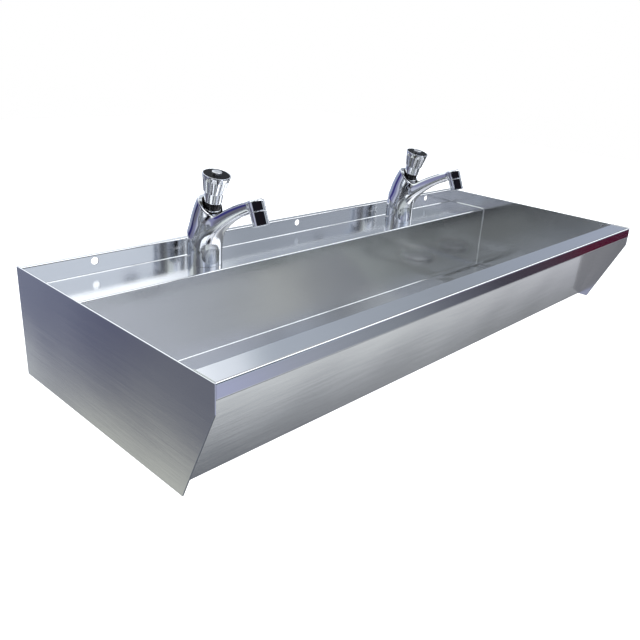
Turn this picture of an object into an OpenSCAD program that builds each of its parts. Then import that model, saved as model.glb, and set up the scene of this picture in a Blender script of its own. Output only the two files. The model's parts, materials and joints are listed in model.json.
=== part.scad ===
// Wall-hung trough sink of folded stainless sheet with two push taps.
// Millimetres. X runs along the trough, Y towards the wall, Z up.
// The origin is the centre of the middle wall-fixing hole, on the back face
// of the upstand.

/* [Trough] */
// Overall length over both end panels
length = 1000; // [800:10:1600]
// Overall depth, front of the lip to the wall
depth = 427; // [380:1:520]
// Height from the rim to the underside of the bowl
height = 158; // [130:1:220]
// Sheet thickness of the folded trough
sheet = 1.5; // [1:0.1:2]
// Sheet thickness of the end panels
end_sheet = 2; // [1:0.1:3]
// Inside radius of every fold
fold_r = 1.2; // [0.8:0.1:3]
// Width of the flat front rim
rim_w = 36; // [28:0.5:50]
// Height of the front lip
lip_h = 20; // [15:0.5:30]
// Width of the safe edge folded back under the lip
lip_return = 10; // [6:0.5:12]
// How far the front wall leans in between rim and floor
front_setback = 39.5; // [20:0.5:60]
// Width of the tap ledge
ledge_w = 90.5; // [80:0.5:120]
// Height of the upstand above the tap ledge
upstand_h = 28.3; // [22:0.1:60]
// Width of the flange folded from the upstand back to the wall
return_w = 9; // [6:0.5:20]

/* [End panels] */
// Height of the upright front edge of an end panel
end_front_h = 34; // [26:0.5:60]
// How far the slanted edge runs back at the bottom
end_slant = 57; // [20:0.5:70]
// Radius of the rounded lower corners
end_corner_r = 3; // [1:0.5:8]

/* [Wall fixings] */
// Distance between neighbouring fixing holes
fix_spacing = 395; // [300:1:450]
// Diameter of a fixing hole
fix_d = 11; // [8:0.5:12]
// Depth of the hole centres below the rim
fix_drop = 10; // [8:0.5:14]

/* [Outlet tray] */
// Length of the pressed tray at the outlet end
tray_len = 182; // [150:1:220]
// Gap between the tray and the right end panel
tray_end_gap = 6; // [4:0.5:20]
// Flat floor left between the tray and the back wall
tray_back_gap = 4; // [3.5:0.5:20]
// Flat floor left between the tray and the front wall
tray_front_gap = 22; // [10:0.5:40]
// Depth of the tray below the floor
tray_drop = 3; // [2:0.5:6]
// Length of the sloping end of the tray
tray_slope = 60; // [20:1:80]
// Width of the sloping sides of the tray
tray_side = 12; // [8:0.5:30]

/* [Waste] */
// Diameter of the waste flange
flange_d = 70; // [64:0.5:80]
// Thickness of the waste flange
flange_t = 3; // [2.5:0.1:4]
// Outside diameter of the threaded tail
tail_d = 47.8; // [40:0.1:49]
// Inside diameter of the tail
tail_bore = 40; // [30:0.5:42]
// Length of the tail below the flange
tail_len = 62; // [45:1:90]
// Length of the tail's free end
tail_free = 40; // [20:1:44]
// Clearance between the tail and what is threaded over it
tail_gap = 0.2; // [0.1:0.05:0.3]
// Diameter of the grid
grid_d = 54; // [50:0.5:58]
// Thickness of the grid
grid_t = 1.5; // [1:0.1:2]
// Diameter of a grid hole
grid_hole = 6; // [4:0.5:7]
// Diameter of the grid screw
grid_screw_d = 6; // [4:0.5:6]
// Thickness of the rubber rings above and below the tray
seal_t = 2; // [1.5:0.1:3]
// Thickness of the slip washer
slip_t = 1.5; // [1:0.1:2]
// Height of the waste backnut
waste_nut_h = 10; // [8:0.5:14]
// Size of the waste backnut across its flats
waste_nut_af = 60; // [56:0.5:66]

/* [Taps] */
// Distance between the two taps
tap_spacing = 480; // [400:1:600]
// Diameter of the tap holes in the ledge
tap_hole_d = 28; // [24:0.5:32]
// How far the tap holes sit in front of the middle of the ledge
tap_forward = 2.2; // [0:0.1:8]
// Distance of the valve axis behind the middle of the foot
valve_back = 2.2; // [0:0.1:5]
// Lean of the valve axis towards the user, degrees
lean = 13; // [8:0.5:18]
// Width of the tap foot
foot_w = 50; // [44:0.5:56]
// Depth of the tap foot, front to back
foot_d = 54; // [46:0.5:60]
// Thickness of the gasket under the foot
gasket_t = 1; // [0.5:0.1:2]
// Half the width of the valve socket
socket_w = 20.5; // [19:0.1:24]
// Half the depth of the valve socket, front to back
socket_d = 19.5; // [19:0.1:22]
// How far the socket is moved forward on the valve axis
socket_forward = 3.4; // [2:0.1:3.5]
// Inside radius of the valve socket
socket_bore_r = 14.6; // [14.6:0.1:15]
// Slope of the spout, degrees
spout_rise = 23; // [18:0.5:30]
// Reach of the spout, from the tap hole to the nozzle, at the nozzle's top
reach = 116.8; // [100:1:140]
// Height of the nozzle's top above the ledge
nozzle_top = 121; // [110:1:130]
// Lean of the nozzle, degrees
nozzle_lean = 22; // [10:1:30]
// Radius of the nozzle barrel
nozzle_r = 11.5; // [11:0.1:13]
// Length of the upper barrel, cast with the spout
head_len = 16.5; // [14:0.5:20]
// Length of the screwed nozzle shell
shell_len = 19; // [14:0.5:22]
// Width of the groove between head and shell
groove = 0.6; // [0.3:0.1:1]
// Radius of the inlet tail's thread
inlet_r = 10.48; // [10.4:0.01:10.6]
// Inside radius of the inlet tail
inlet_bore_r = 7; // [5:0.5:8]
// Length of the inlet tail below the ledge
inlet_len = 52; // [40:1:70]
// Length of the inlet tail screwed into the tap
inlet_screwed = 11; // [8:1:14]
// Length of the inlet tail's free end
inlet_free = 34; // [20:1:36]
// Clearance between the inlet tail and what is threaded over it
inlet_gap = 0.2; // [0.1:0.05:0.3]
// Size of the tap backnut across its flats
tap_nut_af = 32; // [28:0.5:36]
// Height of the tap backnut
tap_nut_h = 9; // [6:0.5:12]
// Radius of the clamp washers under the ledge
clamp_r = 19; // [17:0.5:22]
// Thickness of each clamp washer
clamp_t = 2; // [1:0.1:3]

/* [Push knob] */
// Radius of the knob's top rim
knob_top_r = 20.8; // [20:0.1:24]
// Radius of the knob's skirt at its lower edge
knob_low_r = 15.8; // [15.6:0.1:18]
// Height of the fluted skirt
knob_h = 28; // [25:0.5:32]
// Distance of the knob's top rim from the ledge, along the valve axis
knob_top_at = 145.5; // [143:0.5:150]
// Radius of the neck under the skirt
neck_r = 14; // [13.8:0.1:14.1]
// Length of the neck
neck_h = 13.5; // [11:0.5:15]
// Travel of the knob
travel = 8; // [6:0.5:8.5]
// Number of flutes round the skirt
flutes = 12; // [8:1:14]
// Radius of each flute
flute_r = 3.4; // [2.8:0.1:4]
// Depth of the flutes at the skirt's lower edge
flute_depth = 1.4; // [0.8:0.1:1.5]
// Radius of the black top plate
plate_r = 19.2; // [18:0.1:19.4]
// Thickness of the black top plate
plate_t = 1.6; // [1:0.1:2]
// Radius of the centre disc
disc_r = 7.5; // [6:0.1:9]
// Height of the centre disc above the plate
disc_proud = 4.2; // [0.5:0.1:5]
// Radius of the sleeve that the knob slides on
sleeve_r = 12.3; // [12:0.05:12.5]
// Running clearance between knob and sleeve
knob_gap = 0.35; // [0.3:0.05:0.5]
// Radius of the valve stem
stem_r = 4.2; // [3.5:0.1:5]
// Radius of the knob screw's hole
screw_r = 2.1; // [1.8:0.1:2.4]
// Wire diameter of the return spring
wire_d = 1.6; // [1.2:0.1:1.8]
// Turns of the return spring
spring_turns = 5; // [4:1:7]
// Mean radius of the return spring
spring_r = 8.4; // [8:0.1:9.4]

/* [Hidden] */
$fn = 72;

dark = "#3a3c40";
steel = "#b9bcc0";
chrome = "#d5d8dc";
black = "#18181c";
rubber = "#2c2c2e";
brass = "#b8924a";
nylon = "#e8e6df";
eps = 0.01;
relief = 1;

// ---- places along the trough's section, as [y, z] ----
rim_z = fix_drop;
bottom_z = rim_z - height;
floor_z = bottom_z + sheet;
wall_y = return_w - sheet;
front_y = wall_y - depth;
upstand_y = -sheet;
ledge_z = rim_z - upstand_h;
bowl_back_y = upstand_y - ledge_w;
rim_in_y = front_y + rim_w;
bowl_front_y = rim_in_y + front_setback;
inner_x = length / 2 - end_sheet;

// ---- sheet folding ----
function unit(v) = v / norm(v);
function left_of(d) = [-d[1], d[0]];
function cross2(a, b) = a[0] * b[1] - a[1] * b[0];
function arc(c, r, a0, sweep, n) =
  [for (i = [0:n]) c + r * [cos(a0 + sweep * i / n), sin(a0 + sweep * i / n)]];

// Points of one side of a folded strip round corner p: the face side has
// radius r + t on an outer corner and r on an inner one, and the back side
// the other way round.
function fold(a, p, b, t, r, back) =
  let (d1 = unit(p - a), d2 = unit(b - p), s = sign(cross2(d1, d2)),
       turn = acos(d1 * d2), face_r = s > 0 ? r + t : r,
       back_r = s > 0 ? r : r + t,
       c = p - d1 * face_r * tan(turn / 2) + left_of(d1) * s * face_r,
       out = -s * left_of(d1), a0 = atan2(out[1], out[0]))
  arc(c, back ? back_r : face_r, a0, s * turn, 5);
function strip_side(p, t, r, back) =
  let (n = len(p) - 1, d0 = unit(p[1] - p[0]), d1 = unit(p[n] - p[n - 1]),
       shift = back ? t : 0)
  concat([p[0] + left_of(d0) * shift],
         [for (i = [1:n - 1]) each fold(p[i - 1], p[i], p[i + 1], t, r, back)],
         [p[n] + left_of(d1) * shift]);
function flip(v) = [for (i = [len(v) - 1:-1:0]) v[i]];
module folded_strip(p, t, r)
  polygon(concat(strip_side(p, t, r, false), flip(strip_side(p, t, r, true))));

// Stands a [y, z] outline along X from x0 to x1
module along_x(x0, x1)
  translate([x0, 0, 0]) rotate([90, 0, 90]) linear_extrude(x1 - x0) children();

// ---- trough ----
shell_path = [[wall_y, rim_z], [upstand_y, rim_z], [upstand_y, ledge_z],
  [bowl_back_y, ledge_z], [bowl_back_y, floor_z], [bowl_front_y, floor_z],
  [rim_in_y, rim_z], [front_y, rim_z], [front_y, rim_z - lip_h],
  [front_y + lip_return, rim_z - lip_h]];

tap_x = tap_spacing / 2;
tap_y = upstand_y - ledge_w / 2 - tap_forward;
tray_x1 = inner_x - tray_end_gap;
tray_x0 = tray_x1 - tray_len;
tray_y0 = bowl_front_y + tray_front_gap;
tray_y1 = bowl_back_y - tray_back_gap;
waste_x = (tray_x0 + tray_slope + tray_x1 - tray_side) / 2;
waste_y = (tray_y0 + tray_y1) / 2;
waste_z = floor_z - tray_drop;

module trough_shell() color(steel) difference() {
  along_x(-inner_x, inner_x) folded_strip(shell_path, sheet, fold_r);
  for (i = [-1:1]) translate([i * fix_spacing, upstand_y - 1, 0])
    rotate([-90, 0, 0]) cylinder(d = fix_d, h = sheet + 2);
  for (s = [-1, 1]) translate([s * tap_x, tap_y, ledge_z - sheet - 1])
    cylinder(d = tap_hole_d, h = sheet + 2);
  translate([tray_x0, tray_y0, bottom_z - 1])
    cube([tray_x1 - tray_x0, tray_y1 - tray_y0, sheet + 2]);
}

module end_outline() {
  r = end_corner_r;
  low = [front_y + end_slant, bottom_z];
  slant = unit([end_slant, bottom_z - rim_z + end_front_h]);
  turn = acos(slant[0]);
  c = low + [r * tan(turn / 2), r];
  polygon(concat([[wall_y, rim_z], [front_y, rim_z],
    [front_y, rim_z - end_front_h]],
    arc(c, r, 270 - turn, turn, 4),
    arc([wall_y - r, bottom_z + r], r, 270, 90, 4)));
}
module left_end_panel() color(steel)
  along_x(-length / 2, -inner_x) end_outline();
module right_end_panel() color(steel)
  along_x(inner_x, length / 2) end_outline();

// A shallow pan: a rectangle at the top that narrows to a smaller one
module pan(top_z, low_z, grow) hull() {
  translate([tray_x0 - grow, tray_y0 - grow, top_z])
    cube([tray_len + 2 * grow, tray_y1 - tray_y0 + 2 * grow, eps]);
  translate([tray_x0 + tray_slope - grow, tray_y0 + tray_side - grow, low_z])
    cube([tray_len - tray_slope - tray_side + 2 * grow,
      tray_y1 - tray_y0 - 2 * tray_side + 2 * grow, eps]);
}
tray_lip = 2;
module outlet_tray() color(steel) difference() {
  union() {
    translate([tray_x0, tray_y0, bottom_z])
      cube([tray_len, tray_y1 - tray_y0, sheet]);
    pan(bottom_z, bottom_z - tray_drop, 0);
  }
  pan(floor_z, floor_z - tray_drop, -tray_lip);
  translate([waste_x, waste_y, waste_z - sheet - 2])
    cylinder(d = tail_d + 2 * tail_gap, h = sheet + 4);
}

// ---- waste, drawn with its flange seat at the origin ----
module at_waste() translate([waste_x, waste_y, waste_z]) children();
module ring(r_out, r_in, h) difference() {
  cylinder(r = r_out, h = h);
  translate([0, 0, -1]) cylinder(r = r_in, h = h + 2);
}
flange_z = seal_t;
grid_seat_z = flange_z + flange_t - grid_t;
throat_h = 6;
arm_w = 2.5;
spider_drop = 0.5;
tail_ring_r = tail_d / 2 + tail_gap;
boss_r = grid_screw_d / 2 + 2.5;
screw_len = 12;
module waste_body() color(chrome) at_waste() {
  difference() {
    union() {
      translate([0, 0, flange_z]) rotate_extrude() polygon([[0, 0],
        [flange_d / 2 - 0.8, 0], [flange_d / 2, 0.8],
        [flange_d / 2 - 2.5, flange_t], [0, flange_t]]);
      translate([0, 0, flange_z - tail_len])
        cylinder(d = tail_d, h = tail_len + eps);
    }
    translate([0, 0, grid_seat_z]) cylinder(d = grid_d + 0.6, h = flange_t);
    translate([0, 0, flange_z - tail_len - 1])
      cylinder(d = tail_bore, h = tail_len + flange_t + 2);
    // Run-out groove above the thread that the trap screws on
    translate([0, 0, flange_z - tail_len + tail_free])
      ring(tail_d / 2 + 1, tail_d / 2 - relief, relief);
  }
  // Spider that takes the grid's screw
  translate([0, 0, grid_seat_z - throat_h - spider_drop]) difference() {
    union() {
      cylinder(r = boss_r, h = throat_h);
      for (a = [0:60:120]) rotate([0, 0, a])
        translate([-tail_bore / 2 - 1, -arm_w / 2, 1])
          cube([tail_bore + 2, arm_w, throat_h - 2]);
    }
    translate([0, 0, -1]) cylinder(d = grid_screw_d, h = throat_h + 2);
  }
}
grid_rings = [0.22, 0.39];
grid_counts = [8, 14];
module waste_grid() color(chrome) at_waste() translate([0, 0, grid_seat_z])
  difference() {
    cylinder(d = grid_d, h = grid_t);
    translate([0, 0, -1]) cylinder(d = grid_screw_d + 0.3, h = grid_t + 2);
    for (k = [0:1]) let (n = grid_counts[k], r = grid_d * grid_rings[k])
      for (i = [0:n - 1]) rotate([0, 0, i * 360 / n]) translate([r, 0, -1])
        cylinder(d = grid_hole, h = grid_t + 2, $fn = 24);
  }
module waste_grid_screw() color(chrome) at_waste()
  translate([0, 0, grid_seat_z + grid_t]) difference() {
    union() {
      rotate_extrude() polygon([[0, 0], [grid_screw_d, 0],
        [grid_screw_d * 0.8, 1.2], [grid_screw_d * 0.45, 1.8], [0, 1.8]]);
      translate([0, 0, -screw_len]) cylinder(d = grid_screw_d, h = screw_len + 1);
    }
    translate([-grid_screw_d, -0.6, 1]) cube([2 * grid_screw_d, 1.2, 2]);
  }
module waste_top_seal() color(rubber) at_waste()
  ring(flange_d / 2 - 2, tail_ring_r, seal_t);
under_z = -sheet;
module waste_bottom_seal() color(rubber) at_waste()
  translate([0, 0, under_z - seal_t]) ring(flange_d / 2 - 2, tail_ring_r, seal_t);
module waste_slip_washer() color(nylon) at_waste()
  translate([0, 0, under_z - seal_t - slip_t])
    ring(flange_d / 2 - 3, tail_ring_r, slip_t);
module waste_backnut() color(brass) at_waste()
  translate([0, 0, under_z - seal_t - slip_t - waste_nut_h]) difference() {
    union() {
      cylinder(d = waste_nut_af / cos(30), h = waste_nut_h, $fn = 6);
      translate([0, 0, waste_nut_h - 2]) cylinder(d = waste_nut_af + 4, h = 2);
    }
    translate([0, 0, -1]) cylinder(r = tail_ring_r, h = waste_nut_h + 2);
  }

// ---- taps: drawn with the centre of the tap hole, on the ledge, at the
// origin, and the spout towards -Y ----
module at_tap(side) translate([side * tap_x, tap_y, ledge_z]) children();
module on_valve_axis(a) translate([0, valve_back, 0]) rotate([lean, 0, 0])
  translate([0, 0, a]) children();
module on_nozzle_axis(t) translate([0, -reach, nozzle_top])
  rotate([180 - nozzle_lean, 0, 0]) translate([0, 0, t]) children();

// Skin through a list of rings with the same number of points
module skin(rings) {
  n = len(rings[0]);
  m = len(rings);
  polyhedron(points = [for (r = rings) each r],
    faces = concat([[for (i = [0:n - 1]) i]],
      [for (k = [0:m - 2], i = [0:n - 1]) let (j = (i + 1) % n)
        each [[k * n + i, (k + 1) * n + i, (k + 1) * n + j],
              [k * n + i, (k + 1) * n + j, k * n + j]]],
      [[for (i = [n - 1:-1:0]) (m - 1) * n + i]]));
}
function mix(a, b, u) = a + (b - a) * u;
// Point on a smooth curve through control points, and its direction
function curve(p, u) = len(p) == 1 ? p[0]
  : curve([for (i = [0:len(p) - 2]) mix(p[i], p[i + 1], u)], u);
function curve_dir(p, u) =
  unit(curve([for (i = [0:len(p) - 2]) p[i + 1] - p[i]], u));
function soft(u) = u * u * (3 - 2 * u);

// The column: oval sections on a spine that stands upright on the foot and
// bends forward to the valve socket. Its spine and sections lie in Y and Z.
column_top = 112;
column_end = [valve_back - socket_forward - sin(lean) * column_top,
  cos(lean) * column_top];
column_spine = [[0, gasket_t], [0, 36], [5.5, 68], column_end];
function column_ring(u, n) =
  let (c = curve(column_spine, u), d = curve_dir(column_spine, u),
       w = mix(foot_w / 2, socket_w, soft(u)),
       b = mix(foot_d / 2, socket_d, soft(u)))
  [for (i = [0:n - 1]) let (a = 360 * i / n, e = b * sin(a))
    [w * cos(a), c[0] + d[1] * e, c[1] - d[0] * e]];

// The spout: flat on top, with a bevel on each shoulder and rounded below.
// Its spine leaves the column steeply and flattens out towards the nozzle
// head, and its sections shrink from the root to the neck.
spout_end = [-reach - (head_len / 2) * sin(nozzle_lean) + 2,
  nozzle_top - (head_len / 2) * cos(nozzle_lean)];
spout_bend = 76;
spout_root = [-2, 40];
spout_spine = [spout_root,
  spout_end + spout_bend * [cos(spout_rise), -sin(spout_rise)], spout_end];
root_half_w = 24;
root_up = 20;
root_low = 22;
neck_half_w = 9.6;
neck_half_h = 7.6;
shrink = 2.6;
flat_share = 0.42;
edge_share = 0.26;
section_pts = 26;
// Half the section's outline from the right shoulder's edge over the top,
// then round below, as shares of the half width and the half height
function spout_outline() = concat(
  [[1, edge_share], [(1 + flat_share) / 2, (1 + edge_share) / 2],
   [flat_share, 1], [0, 1], [-flat_share, 1],
   [-(1 + flat_share) / 2, (1 + edge_share) / 2], [-1, edge_share]],
  [for (i = [1:section_pts - 1]) let (a = 180 + 180 * i / section_pts)
    [sign(cos(a)) * pow(abs(cos(a)), 0.8),
     edge_share + (1 + edge_share) * sin(a)]]);
function spout_ring(u) =
  let (c = curve(spout_spine, u), d = curve_dir(spout_spine, u),
       k = pow(1 - u, shrink), w = mix(neck_half_w, root_half_w, k),
       up = mix(neck_half_h, root_up, k), low = mix(neck_half_h, root_low, k))
  [for (q = spout_outline()) let (e = q[1] * (q[1] > 0 ? up : low))
    [w * q[0], c[0] + d[1] * e, c[1] - d[0] * e]];

rim_cut = 42;
rim_at = 95.5;
rim_top_at = 109;
cavity_low = 44;
cavity_r = 10.8;
shoulder_at = 78;
socket_floor_at = 86;
collar_r = 13.9;
waterway_r = 4.5;
waterway_at = 60.7;
waterway_end = [valve_back - sin(lean) * waterway_at, cos(lean) * waterway_at];
waterway_run = waterway_end - spout_end;
head_bore_r = 8.4;
head_bore_h = 10;
module block_above() translate([-60, -60, 0]) cube([120, 120, 60]);
module tap_body() color(chrome) difference() {
  union() {
    difference() {
      skin([for (k = [0:16]) column_ring(k / 16, 48)]);
      // The socket's rim is cut on a slope, high at the back
      on_valve_axis(rim_at) rotate([rim_cut, 0, 0]) block_above();
      on_valve_axis(rim_top_at) block_above();
    }
    skin([for (k = [0:18]) spout_ring(k / 18)]);
    on_nozzle_axis(0) rotate_extrude() polygon([[0, 0], [nozzle_r - 1, 0],
      [nozzle_r, 1], [nozzle_r, head_len - 0.5],
      [nozzle_r - 0.5, head_len], [0, head_len]]);
  }
  on_valve_axis(socket_floor_at) cylinder(r = socket_bore_r, h = 60);
  on_valve_axis(shoulder_at) cylinder(r = collar_r, h = 60);
  on_valve_axis(cavity_low) cylinder(r = cavity_r, h = 60);
  translate([0, 0, -1]) cylinder(r = inlet_r, h = inlet_screwed + 1);
  cylinder(r = waterway_r, h = cavity_low + 2);
  // Waterway through the spout, from the nozzle head back to the valve
  translate([0, spout_end[0], spout_end[1]])
    rotate([atan2(waterway_run[1], waterway_run[0]) - 90, 0, 0])
      cylinder(r = waterway_r, h = norm(waterway_run));
  on_nozzle_axis(head_len - head_bore_h) cylinder(r = head_bore_r, h = head_bore_h + 1);
}

module base_gasket() color(rubber) ring(foot_w / 2 - 2, inlet_r + 1, gasket_t);
module inlet_tail() color(brass) difference() {
  translate([0, 0, -inlet_len])
    ring(inlet_r, inlet_bore_r, inlet_len + inlet_screwed);
  // Run-out groove above the thread that the supply pipe screws on
  translate([0, 0, inlet_free - inlet_len]) ring(inlet_r + 1, inlet_r - relief, relief);
}
module clamp_seal() color(rubber) translate([0, 0, -sheet - clamp_t])
  ring(clamp_r, inlet_r + inlet_gap, clamp_t);
module clamp_washer() color(steel) translate([0, 0, -sheet - 2 * clamp_t])
  ring(clamp_r, inlet_r + inlet_gap, clamp_t);
module backnut() color(brass)
  translate([0, 0, -sheet - 2 * clamp_t - tap_nut_h]) difference() {
    cylinder(d = tap_nut_af / cos(30), h = tap_nut_h, $fn = 6);
    translate([0, 0, -1]) cylinder(r = inlet_r + inlet_gap, h = tap_nut_h + 2);
  }

neck_at = knob_top_at - knob_h - neck_h;
sleeve_top_at = neck_at + 8;
crown_t = 5;
crown_at = knob_top_at - plate_t - crown_t;
stem_well_at = cavity_low + 12;
module valve_cartridge() color(dark) on_valve_axis(0) difference() {
  union() {
    translate([0, 0, cavity_low + 1])
      cylinder(r = cavity_r - 0.2, h = shoulder_at - cavity_low);
    translate([0, 0, shoulder_at])
      cylinder(r = collar_r - 0.3, h = socket_floor_at - shoulder_at);
    translate([0, 0, shoulder_at])
      cylinder(r = sleeve_r, h = sleeve_top_at - shoulder_at);
  }
  translate([0, 0, stem_well_at])
    cylinder(r = stem_r + 0.3, h = sleeve_top_at - stem_well_at + 1);
}
ring_h = 8;
module retaining_ring() color(chrome) on_valve_axis(socket_floor_at)
  difference() {
    rotate_extrude() polygon([[0, 0], [socket_bore_r - 0.1, 0],
      [socket_bore_r - 0.1, ring_h - 0.5], [socket_bore_r - 0.6, ring_h],
      [0, ring_h]]);
    translate([0, 0, -1]) cylinder(r = sleeve_r + 0.1, h = ring_h + 2);
  }
stem_low_at = stem_well_at + travel + 4;
screw_in = 8;
module valve_stem() color(brass) on_valve_axis(0) difference() {
  translate([0, 0, stem_low_at]) cylinder(r = stem_r, h = crown_at - stem_low_at);
  translate([0, 0, crown_at - screw_in - 0.5])
    cylinder(r = screw_r - 0.1, h = screw_in + 1.5);
}

spring_low = sleeve_top_at + wire_d / 2;
spring_high = crown_at - wire_d / 2;
spring_steps = 16;
module return_spring() color(steel) on_valve_axis(0)
  skin([for (k = [0:spring_turns * spring_steps])
    let (u = k / (spring_turns * spring_steps), a = 360 * spring_turns * u,
         h = spring_high - spring_low)
    [for (i = [0:7]) let (b = 45 * i,
         q = spring_r + wire_d / 2 * cos(b))
      [q * cos(a), q * sin(a), spring_low + h * u + wire_d / 2 * sin(b)]]]);

skirt_at = knob_top_at - knob_h;
head_r = 3.8;
head_sunk = 2;
bore_r = sleeve_r + knob_gap;
flute_lean = atan((knob_top_r - knob_low_r + flute_depth) / (knob_h - 3));
module push_knob() color(chrome) on_valve_axis(0) difference() {
  rotate_extrude() polygon([[screw_r, crown_at], [bore_r, crown_at],
    [bore_r, neck_at], [neck_r - 1.4, neck_at], [neck_r - 0.8, neck_at + 0.8],
    [neck_r, skirt_at], [knob_low_r - 0.6, skirt_at],
    [knob_low_r, skirt_at + 0.6], [knob_top_r, knob_top_at - 2],
    [knob_top_r, knob_top_at - 0.5], [knob_top_r - 0.5, knob_top_at],
    [plate_r + 0.1, knob_top_at], [plate_r + 0.1, knob_top_at - plate_t],
    [head_r, knob_top_at - plate_t], [head_r, crown_at + head_sunk],
    [screw_r, crown_at + head_sunk]]);
  // Flutes, deep at the skirt's lower edge and running out under the rim
  for (i = [0:flutes - 1]) rotate([0, 0, (i + 0.5) * 360 / flutes])
    translate([knob_low_r + flute_r - flute_depth, 0, skirt_at])
      rotate([0, flute_lean, 0]) translate([0, 0, -1.5])
        cylinder(r = flute_r, h = knob_h + 10, $fn = 32);
}
module knob_screw() color(steel) on_valve_axis(crown_at + head_sunk) difference() {
  union() {
    cylinder(r = head_r - 0.2, h = 2.5);
    translate([0, 0, -head_sunk - screw_in])
      cylinder(r = screw_r - 0.1, h = head_sunk + screw_in + 1);
  }
  translate([0, 0, 1]) cylinder(r = 1.5, h = 3, $fn = 6);
}
module knob_plate() color(black) on_valve_axis(knob_top_at - plate_t)
  ring(plate_r, disc_r + 0.1, plate_t);
module knob_disc() color("#e4e6ea") on_valve_axis(knob_top_at - plate_t)
  rotate_extrude() polygon([[0, 0], [disc_r, 0],
    [disc_r, plate_t + disc_proud - 0.8], [disc_r - 0.8, plate_t + disc_proud - 0.1],
    [0, plate_t + disc_proud]]);

shell_at = head_len + groove;
spigot_r = head_bore_r - 0.2;
spigot_bore_r = 6.5;
spigot_h = 8;
insert_r = 9.1;
insert_in = 4;
insert_h = shell_len - insert_in - 1.5;
module nozzle_shell() color(chrome) on_nozzle_axis(0) difference() {
  union() {
    translate([0, 0, shell_at]) rotate_extrude() polygon([[0, 0],
      [nozzle_r - 0.5, 0], [nozzle_r, 0.5], [nozzle_r, shell_len - 1.2],
      [nozzle_r - 1.2, shell_len], [0, shell_len]]);
    translate([0, 0, head_len]) cylinder(r = nozzle_r - 1, h = groove + eps);
    translate([0, 0, head_len - spigot_h]) cylinder(r = spigot_r, h = spigot_h + 1);
  }
  translate([0, 0, head_len - spigot_h - 1])
    cylinder(r = spigot_bore_r, h = spigot_h + groove + insert_in + 2);
  translate([0, 0, shell_at + insert_in]) cylinder(r = insert_r + 0.1, h = shell_len);
}
module nozzle_seal() color(rubber) on_nozzle_axis(head_len - head_bore_h)
  ring(spigot_r, spigot_bore_r, head_bore_h - spigot_h);
jet_r = 1;
jet_rings = [3.2, 6.6];
jet_counts = [6, 12];
module flow_insert() color(nylon) on_nozzle_axis(shell_at + insert_in)
  difference() {
    cylinder(r = insert_r, h = insert_h);
    for (k = [0:1]) let (n = jet_counts[k], r = jet_rings[k])
      for (i = [0:n - 1]) rotate([0, 0, i * 360 / n]) translate([r, 0, -1])
        cylinder(r = jet_r, h = insert_h + 2, $fn = 16);
  }

module left_tap_body() at_tap(-1) tap_body();
module left_base_gasket() at_tap(-1) base_gasket();
module left_inlet_tail() at_tap(-1) inlet_tail();
module left_clamp_seal() at_tap(-1) clamp_seal();
module left_clamp_washer() at_tap(-1) clamp_washer();
module left_backnut() at_tap(-1) backnut();
module left_valve_cartridge() at_tap(-1) valve_cartridge();
module left_retaining_ring() at_tap(-1) retaining_ring();
module left_valve_stem() at_tap(-1) valve_stem();
module left_return_spring() at_tap(-1) return_spring();
module left_push_knob() at_tap(-1) push_knob();
module left_knob_screw() at_tap(-1) knob_screw();
module left_knob_plate() at_tap(-1) knob_plate();
module left_knob_disc() at_tap(-1) knob_disc();
module left_nozzle_shell() at_tap(-1) nozzle_shell();
module left_nozzle_seal() at_tap(-1) nozzle_seal();
module left_flow_insert() at_tap(-1) flow_insert();

module right_tap_body() at_tap(1) tap_body();
module right_base_gasket() at_tap(1) base_gasket();
module right_inlet_tail() at_tap(1) inlet_tail();
module right_clamp_seal() at_tap(1) clamp_seal();
module right_clamp_washer() at_tap(1) clamp_washer();
module right_backnut() at_tap(1) backnut();
module right_valve_cartridge() at_tap(1) valve_cartridge();
module right_retaining_ring() at_tap(1) retaining_ring();
module right_valve_stem() at_tap(1) valve_stem();
module right_return_spring() at_tap(1) return_spring();
module right_push_knob() at_tap(1) push_knob();
module right_knob_screw() at_tap(1) knob_screw();
module right_knob_plate() at_tap(1) knob_plate();
module right_knob_disc() at_tap(1) knob_disc();
module right_nozzle_shell() at_tap(1) nozzle_shell();
module right_nozzle_seal() at_tap(1) nozzle_seal();
module right_flow_insert() at_tap(1) flow_insert();

trough_shell();
left_end_panel();
right_end_panel();
outlet_tray();
waste_body();
waste_grid();
waste_grid_screw();
waste_top_seal();
waste_bottom_seal();
waste_slip_washer();
waste_backnut();
left_tap_body();
left_base_gasket();
left_inlet_tail();
left_clamp_seal();
left_clamp_washer();
left_backnut();
left_valve_cartridge();
left_retaining_ring();
left_valve_stem();
left_return_spring();
left_push_knob();
left_knob_screw();
left_knob_plate();
left_knob_disc();
left_nozzle_shell();
left_nozzle_seal();
left_flow_insert();
right_tap_body();
right_base_gasket();
right_inlet_tail();
right_clamp_seal();
right_clamp_washer();
right_backnut();
right_valve_cartridge();
right_retaining_ring();
right_valve_stem();
right_return_spring();
right_push_knob();
right_knob_screw();
right_knob_plate();
right_knob_disc();
right_nozzle_shell();
right_nozzle_seal();
right_flow_insert();
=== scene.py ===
# %% [markdown]
# # A trough sink with two push taps
#
# The sink is a long trough of folded stainless sheet that hangs on a wall.
# Two chrome taps stand on the ledge at its back. Each has a fluted knob that
# is pressed down and rises again on a spring.
#
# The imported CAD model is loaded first. It fixes every size and every place,
# so each piece below only has to look right, and rides on the body it
# belongs to.

# %% Load the frame
import json
import math

import bmesh
import bpy
import numpy as np
from mathutils import Matrix, Vector

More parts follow.
